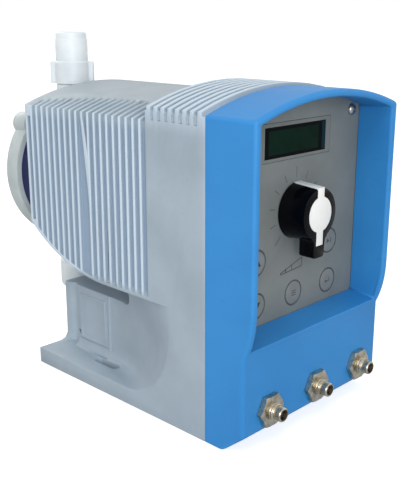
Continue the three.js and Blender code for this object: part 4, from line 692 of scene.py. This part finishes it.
ARROW_KEYS = ("key_up", "key_down")
KEY_PRINTS = {
    "key_up": [[(-4, -2.6), (4, -2.6), (0, 3.6)]],
    "key_down": [[(-4, 2.6), (0, -3.6), (4, 2.6)]],
    "key_menu": [line((-2.4, z), (2.4, z), 0.7) for z in (-1.7, 0, 1.7)],
    "key_enter": [line((-2.4, -0.8), (2.2, -0.8), 0.7), line((2.2, -1.1), (2.2, 1.8), 0.7),
                  [(-3.4, -0.8), (-1.4, -2.1), (-1.4, 0.5)]],
    "key_start": [[(-2.8, -2), (0.4, 0), (-2.8, 2)], line((1.8, -2), (1.8, 2), 0.9)],
}
for name, prints in KEY_PRINTS.items():
    spot = centre(name)
    proud = PANEL_FACE - face(name, 0, 1)
    back = face(name, 1, 1) - 1 - PANEL_FACE
    body = name + "_button"
    ink = BLACK_INK if name in ARROW_KEYS else INK
    piece(name + "_cap", key_cap(proud, back), KEY, body,
          (spot.x, PANEL_FACE, spot.z), FRONTWARDS, [name])
    piece(name + "_sign", flat_print(prints, proud - 0.1, proud + 0.03), ink, body,
          (spot.x, PANEL_FACE, spot.z), FRONTWARDS)
    piece(name + "_border", ring(9.0, 0.9, PRINT_HEIGHT), INK, "pump_body",
          (spot.x, PANEL_FACE, spot.z), FRONTWARDS)


# Printed film: stroke scale round the knob, and the stroke sign above it

SCALE_MARKS = 11
SCALE_START = 225
SCALE_STEP = 27
SCALE_INNER_RADIUS = 23.5
LONG_MARK_RADIUS = 31.5
SHORT_MARK_RADIUS = 29.5


def panel_print():
    """Scale marks, every fifth longer, and a wedge that grows with the stroke, crossed by two bars."""
    outlines = []
    middle = Vector((0, AXIS_Z))
    for i in range(SCALE_MARKS):
        angle = math.radians(SCALE_START - SCALE_STEP * i)
        reach = LONG_MARK_RADIUS if i % 5 == 0 else SHORT_MARK_RADIUS
        ray = Vector((math.cos(angle), math.sin(angle)))
        outlines.append(line(middle + ray * SCALE_INNER_RADIUS, middle + ray * reach, 0.55))
    wedge = [(-15.5, 111.5), (9, 113.2), (9, 119.8), (-15.5, 112.6)]
    for a, b in zip(wedge, wedge[1:] + wedge[:1]):
        outlines.append(line(a, b, 0.8))
    outlines.append(line((-9.5, 112), (-9.5, 114.4), 1.2))
    outlines.append(line((-2.5, 112.5), (-2.5, 116.3), 0.8))
    return flat_print(outlines, 0, PRINT_HEIGHT)


piece("panel_print", panel_print(), INK, "pump_body", (0, PANEL_FACE, 0), FRONTWARDS)


# Panel screws

SCREW_SUNK = 0.3
CROSS_REACH = 2
CROSS_HALF = 0.45


def panel_screw(head, shank, length):
    """Domed screw with a cross recess."""
    screw = turned([(0, 2.6), (1.4, 2.52), (2.8, 2.1), (3.8, 1.3), (head, 0.5), (head, 0), (shank, 0),
                    (shank, -length), (0, -length)], 40)
    level = prism(rectangle(-CROSS_REACH, CROSS_REACH, -CROSS_HALF, CROSS_HALF), 1.2, 4)
    plumb = prism(rectangle(-CROSS_HALF, CROSS_HALF, -CROSS_REACH, CROSS_REACH), 1.2, 4)
    cross = combined(level, plumb, "UNION")
    return combined(screw, cross, "DIFFERENCE")


for side in ("left", "right"):
    node = "panel_screw_" + side
    spot = centre(node)
    seat = PANEL_FACE - SCREW_SUNK
    piece("screw_" + side, panel_screw(4.25, 2, face(node, 1, 1) - seat), SCREW, "pump_body",
          (spot.x, seat, spot.z), FRONTWARDS, [node])


# Signal sockets: hexagon, two threaded collars, and a mouth with a dark insert

def hexagon(across_flats):
    """Corners of a hexagon."""
    corner = across_flats / math.sqrt(3)
    angles = [math.radians(60 * i) for i in range(6)]
    return [(corner * math.cos(angle), corner * math.sin(angle)) for angle in angles]


def chamfered_hexagon(across_flats, low, high, chamfer_low, chamfer_high):
    """Hexagon whose corners are turned down at its ends."""
    corner = across_flats / math.sqrt(3)
    cone = turned([(0, low), (corner - chamfer_low, low), (corner + 0.02, low + chamfer_low * 0.58),
                   (corner + 0.02, high - chamfer_high * 0.58), (corner - chamfer_high, high), (0, high)], 72)
    return combined(prism(hexagon(across_flats), low - 1, high + 1), cone, "INTERSECT")


def threaded(radius, low, high, pitch, depth):
    """Profile points of thread crests and roots along a barrel."""
    count = int((high - low) / pitch)
    points = []
    for i in range(count):
        base = low + (high - low) * i / count
        step = (high - low) / count
        points += [(radius, base), (radius, base + step * 0.35), (radius - depth, base + step * 0.6),
                   (radius - depth, base + step * 0.75)]
    return points + [(radius, high)]


def socket_shell():
    """Barrel from its mouth back: a narrow thread, a wide thread, a plain waist and a collar in the wall."""
    barrel = [(3.9, SOCKET_REACH), (4.6, SOCKET_REACH), (5.1, 13.2)]
    barrel += reversed(threaded(5.1, 9.2, 13.2, 1.0, 0.45))
    barrel += [(5.1, 8.9), (5.9, 8.9), (6.2, 8.6)]
    barrel += reversed(threaded(6.2, 4.9, 8.6, 1.25, 0.5))
    barrel += [(6.2, 4.3), (6.2, 0.3), (7.7, 0.3), (7.7, -10), (3.9, -10), (3.9, SOCKET_REACH)]
    return turned(barrel, 56)


def socket_hexagon():
    """Chamfered hexagon nut round the barrel."""
    plate = chamfered_hexagon(22, 0.3, 4.3, 0.1, 1.3)
    hole = turned([(0, -2), (6.25, -2), (6.25, 6), (0, 6)], 48)
    return combined(plate, hole, "DIFFERENCE")


def socket_core():
    """Insert at the bottom of the mouth."""
    return turned([(0, 10.8), (3.2, 10.8), (3.6, 10.5), (3.6, -9), (0, -9)], 40)


for side in ("left", "middle", "right"):
    shell = "socket_shell_" + side
    insert = "socket_insert_" + side
    spot = centre(shell)
    seat = face(shell, 0, 1) + SOCKET_REACH
    place = (spot.x, seat, spot.z)
    piece("socket_barrel_" + side, socket_shell(), PLATED, "pump_body", place, FRONTWARDS,
          [shell])
    piece("socket_hexagon_" + side, socket_hexagon(), PLATED, "pump_body", place,
          FRONTWARDS, [shell])
    piece("socket_core_" + side, socket_core(), SHADOW_BLACK, "pump_body", place,
          FRONTWARDS, [insert])


# Liquid end: flange, head and screws are turned towards the rear, with heights from their rear face

FLANGE_REAR = face("head_flange", 1, 1)
HEAD_REAR = face("pump_head", 1, 1)
SCREW_CORNERS = ("upper_right", "upper_left", "lower_left", "lower_right")
LOBE_RADIUS = 9
VALVE_CLEARANCE_RADIUS = 15.1
COLLAR_RADIUS = 14.75
COLLAR_START = 46
COLLAR_END = 67
POCKET_RADIUS = 12
POCKET_DEPTH = 20
PASSAGE_RADIUS = 4
PASSAGE_OFFSET = 20


def spot_of(node):
    """Place of a node across the drive axis, in the turned frame, where z points down."""
    return (centre(node).x, AXIS_Z - centre(node).z)


def rod(radius, low, high, spot, segments, round_edge=0.0):
    """Round bar along Z, centred on a spot."""
    shape = turned([(0, low), (radius, low), (radius, high), (0, high)], segments)
    if round_edge:
        soften(shape, round_edge, 3, 50)
    bmesh.ops.translate(shape, verts=shape.verts, vec=(*spot, 0))
    return shape


def valve_bar(radius, low, high, rear, round_edge=0.0):
    """Round bar along the valve axis, up or down from the drive axis, as the turned frame sees it."""
    bar = rod(radius, low, high, (0, 0), 64, round_edge)
    bar.transform(Matrix.Translation((0, 0, VALVE_Y - rear)) @ FRONTWARDS)
    return bar


def head_flange():
    """Navy flange: spigot, waist with four screw lobes, and a ring that backs the head."""
    profile = [(14, -46), (21.2, -46), (21.7, -45.5), (21.7, -38), (53, -38), (54, -37), (54, -23.3),
               (54.9, -22.4), (60.8, -22.3), (61.44, -22.04), (61.7, -21.4), (61.7, -0.8), (60.9, 0),
               (45.3, 0), (45.3, -16.6), (44.3, -16.6), (44.3, -18), (32, -18), (24, -28.3), (14, -28.3),
               (14, -46)]
    body = turned(profile, 128)
    for corner in SCREW_CORNERS:
        lobe = rod(LOBE_RADIUS, -38, -22, spot_of("head_screw_" + corner), 48, 1.0)
        body = combined(body, lobe, "UNION")
    for low, high in ((40, 70), (-70, -40)):
        body = combined(body, valve_bar(VALVE_CLEARANCE_RADIUS, low, high, FLANGE_REAR), "DIFFERENCE")
    return body


def pump_head():
    """White head: disc with a rounded rim, valve collars and a bleed boss, with counterbores for the screws,
    pockets for the valves, and passages from them to the diaphragm."""
    disc = turned([(0, -26), (26, -26), (32, -32.5), (45, -32.5), (45, -17.4), (64.8, -17.4),
                   (65.65, -17.05), (66, -16.2), (66, -2.8), (65.7, -1.5), (64.9, -0.5), (63.6, 0),
                   (57, 0), (56.3, -0.6), (0, -0.6)], 144)
    bleed = spot_of("bleed_screw")
    body = combined(disc, rod(9.5, -17.3, -0.05, bleed, 56, 1.0), "UNION")
    for low, high in ((COLLAR_START, COLLAR_END), (-COLLAR_END, -COLLAR_START)):
        body = combined(body, valve_bar(COLLAR_RADIUS, low, high, HEAD_REAR, 0.8), "UNION")
    for corner in SCREW_CORNERS:
        spot = spot_of("head_screw_" + corner)
        body = combined(body, rod(3.3, -18, 1, spot, 32), "DIFFERENCE")
        body = combined(body, rod(5.6, -7, 1, spot, 40), "DIFFERENCE")
    body = combined(body, rod(5.3, -12, 1, bleed, 40), "DIFFERENCE")
    pocket = (POCKET_RADIUS, COLLAR_END - POCKET_DEPTH, COLLAR_END + 2)
    passage = (PASSAGE_RADIUS, PASSAGE_OFFSET - 2, COLLAR_END - POCKET_DEPTH + 1)
    for side in (1, -1):
        for radius, near, far in (pocket, passage):
            low, high = sorted((side * near, side * far))
            body = combined(body, valve_bar(radius, low, high, HEAD_REAR), "DIFFERENCE")
        inlet = rod(PASSAGE_RADIUS, -29, VALVE_Y - HEAD_REAR + 2, (0, side * PASSAGE_OFFSET), 40)
        body = combined(body, inlet, "DIFFERENCE")
    return body


def head_screw():
    """Cylinder head screw with a hexagon socket and a rounded top edge."""
    screw = turned([(0, -48.3), (2.4, -48.3), (3, -47.7), (3, -6.7), (5, -6.7), (5, -1.3), (4.7, -0.85),
                    (4.3, -0.7), (0, -0.7)], 48)
    return combined(screw, prism(hexagon(5), -3.7, 1), "DIFFERENCE")


def bleed_screw():
    """Slotted screw, slightly domed."""
    screw = turned([(0, -11.7), (4.6, -11.7), (5, -11.3), (5, -0.6), (4.5, -0.1), (0, 0)], 48)
    return combined(screw, prism(rectangle(-6, 6, -0.7, 0.7), -1.5, 1), "DIFFERENCE")


piece("flange_moulding", head_flange(), NAVY, "pump_body", (0, FLANGE_REAR, AXIS_Z), REARWARDS,
      ["head_flange"])
piece("head_turning", pump_head(), HEAD_WHITE_PAINTED_SHADE, "pump_body", (0, HEAD_REAR, AXIS_Z), REARWARDS,
      ["pump_head"])
for corner in SCREW_CORNERS:
    node = "head_screw_" + corner
    piece("socket_screw_" + corner, head_screw(), SCREW, "pump_body",
          (centre(node).x, HEAD_REAR, centre(node).z), REARWARDS, [node])
piece("bleed_plug", bleed_screw(), SEAT, "bleed_valve",
      (centre("bleed_screw").x, HEAD_REAR, centre("bleed_screw").z), REARWARDS, ["bleed_screw"])


# Valves: radii about the valve axis, heights above the floor

NECK = 14.25
BORE = 4
CHAMBER = 6.6
WING_NEAR = 13.7
WING_FAR = 19.2
WING_HALF = 2.6
WING_TURN = -46


def discharge_body():
    """Valve body with a smooth neck below the union, and the ball's chamber in its top."""
    low, high = face("discharge_body", 0, 2), face("discharge_body", 1, 2)
    neck = high - 16.7
    return turned([(BORE, low), (11.2, low), (11.7, low + 0.5), (11.7, neck), (13.75, neck),
                   (NECK, neck + 0.5), (NECK, neck + 6.3), (13.85, neck + 6.7), (12, neck + 6.7),
                   (12, high - 0.4), (11.6, high), (CHAMBER, high), (CHAMBER, high - 13), (BORE, high - 13),
                   (BORE, low)], 96)


def discharge_union():
    """Union: a round grip with two wings below, a slightly tapered barrel with a capped end above."""
    low, high = face("discharge_union", 0, 2), face("discharge_union", 1, 2)
    grip_top = high - 25
    barrel = turned([(12.3, low), (14.4, low), (15.1, low + 0.7), (15.1, grip_top - 0.7), (14.4, grip_top),
                     (NECK, grip_top + 0.1), (NECK, grip_top + 4), (14.1, grip_top + 4.8),
                     (13.85, high - 6.2), (13.7, high - 5.9), (13.35, high - 5.75), (13.25, high - 5.4),
                     (13.2, high - 1.7), (12.85, high - 0.7), (12.1, high - 0.15), (11.4, high), (9.5, high),
                     (9, high - 0.5), (9, high - 12), (BORE, high - 14), (BORE, high - 33.5),
                     (5.6, high - 34.5), (CHAMBER, high - 34.7), (12.3, high - 34.7), (12.3, low)], 96)
    for out in (1, -1):
        near, far = sorted((out * WING_NEAR, out * WING_FAR))
        wing = prism(rectangle(near, far, -WING_HALF, WING_HALF), low + 0.3, grip_top - 0.3)
        soften(wing, 1.2, 3, 40, lambda m: abs(m.x) > WING_FAR - 0.1)
        wing.transform(Matrix.Rotation(math.radians(WING_TURN), 4, "Z"))
        barrel = combined(barrel, wing, "UNION", False)
    return barrel


def suction_body():
    """Valve body with the ball's chamber inside it, and a hexagon grip let into its wall."""
    low, high = face("suction_body", 0, 2), face("suction_body", 1, 2)
    shoulder = high - 17.7
    body = turned([(BORE - 1, low), (13.75, low), (NECK, low + 0.5), (NECK, shoulder - 0.5),
                   (13.75, shoulder), (11.7, shoulder), (11.7, high - 0.5), (11.2, high), (BORE, high),
                   (BORE, high - 15.9), (CHAMBER, high - 15.9), (CHAMBER, low + 30), (BORE - 1, low + 30),
                   (BORE - 1, low)], 96)
    grip = chamfered_hexagon(32, low + 21.5, low + 32, 1.2, 1.2)
    grip = combined(grip, rod(13.5, low + 20, low + 34, (0, 0), 64), "DIFFERENCE")
    return joined(body, grip)


def suction_nut():
    """Union nut with a well rounded lower end."""
    low, high = face("suction_nut", 0, 2), face("suction_nut", 1, 2)
    radius = face("suction_nut", 1, 0)
    return turned([(8, low), (radius - 4.4, low), (radius - 2.6, low + 0.4), (radius - 1.2, low + 1.5),
                   (radius - 0.3, low + 3), (radius, low + 4.6), (radius, high - 1.2),
                   (radius - 0.35, high - 0.35), (radius - 1.2, high), (NECK + 0.3, high),
                   (NECK + 0.3, low + 5.7), (8, low + 5.7), (8, low)], 96)


for name, shape in (("discharge_body", discharge_body()), ("discharge_union", discharge_union()),
                    ("suction_body", suction_body()), ("suction_nut", suction_nut())):
    piece(name + "_turning", shape, NATURAL, "pump_body", (0, VALVE_Y, 0), UPRIGHT, [name])


# Camera, light and floor. A lamp has a name, a place and a size in metres, and a power in watts.

CAMERA_PLACE = (-450.5, -454.8, 291.1)
CAMERA_AIM = (0.6918, 0.6699, -0.2696)
LAMP_TARGET = (0, 0, 0.13)
LAMPS = (("key", (-0.9, -0.5, 1.3), 0.9, 6.2), ("front", (-0.95, -1.4, 0.5), 0.7, 10.5),
         ("rear", (0.2, 1.5, 1.0), 1.0, 6))
WHITE_LIGHT = (1, 1, 1, 1)


def aim(direction):
    """Turn of a camera or lamp that looks in a direction."""
    return Vector(direction).to_track_quat("-Z", "Y").to_euler()


def place_camera(scene):
    """Camera before the pump, at its left."""
    camera = bpy.data.objects.new("camera", bpy.data.cameras.new("camera"))
    scene.collection.objects.link(camera)
    camera.data.lens = 60.5
    camera.data.sensor_width = 36
    camera.data.clip_end = 20
    camera.location = Vector(CAMERA_PLACE) * MM
    camera.rotation_euler = aim(CAMERA_AIM)
    scene.camera = camera


def surround(scene):
    """White surroundings, which look brighter than the light they give."""
    world = bpy.data.worlds.new("studio")
    scene.world = world
    world.use_nodes = True
    tree = world.node_tree
    tree.nodes.clear()
    path = add(tree, "LightPath")
    seen = calculate(tree, "MAXIMUM", path.outputs["Is Camera Ray"], path.outputs["Is Glossy Ray"])
    seen = calculate(tree, "MAXIMUM", seen, path.outputs["Is Transmission Ray"])
    dim = add(tree, "Background", {"Color": WHITE_LIGHT, "Strength": 0.62})
    white = add(tree, "Background", {"Color": WHITE_LIGHT, "Strength": 1.0})
    mix = add(tree, "MixShader", {0: seen, 1: dim.outputs[0], 2: white.outputs[0]})
    output = add(tree, "OutputWorld")
    tree.links.new(mix.outputs[0], output.inputs[0])


def hang_lamps(scene):
    """Area lamps that face the pump."""
    for name, place, size, power in LAMPS:
        lamp = bpy.data.lights.new(name, "AREA")
        lamp.energy = power
        lamp.size = size
        holder = bpy.data.objects.new(name, lamp)
        holder.location = place
        holder.rotation_euler = aim(Vector(LAMP_TARGET) - Vector(place))
        scene.collection.objects.link(holder)


def lay_floor():
    """Painted board, pale grey and matt: shadows fall on it, and to the camera it glows nearly white."""
    disc = bmesh.new()
    bmesh.ops.create_circle(disc, cap_ends=True, segments=64, radius=6)
    floor = as_object(disc, "floor")
    floor.location.z = -0.0005
    surface, tree, principled, _ = material(
        "pale_floor", **{"Base Color": srgb("#d6d6d6"), "Roughness": 0.9, "Specular IOR Level": 0.1})
    glow = add(tree, "Emission", {"Strength": 0.7})
    path = add(tree, "LightPath")
    total = add(tree, "AddShader", {0: principled.outputs[0], 1: glow.outputs[0]})
    seen = path.outputs["Is Camera Ray"]
    only = add(tree, "MixShader", {0: seen, 1: principled.outputs[0], 2: total.outputs[0]})
    output = [n for n in tree.nodes if n.type == "OUTPUT_MATERIAL"][0]
    tree.links.new(only.outputs[0], output.inputs[0])
    floor.data.materials.append(surface)


def studio():
    """Camera, surroundings, lamps and floor."""
    scene = bpy.context.scene
    scene.view_settings.view_transform = "Standard"
    place_camera(scene)
    surround(scene)
    hang_lamps(scene)
    lay_floor()


studio()
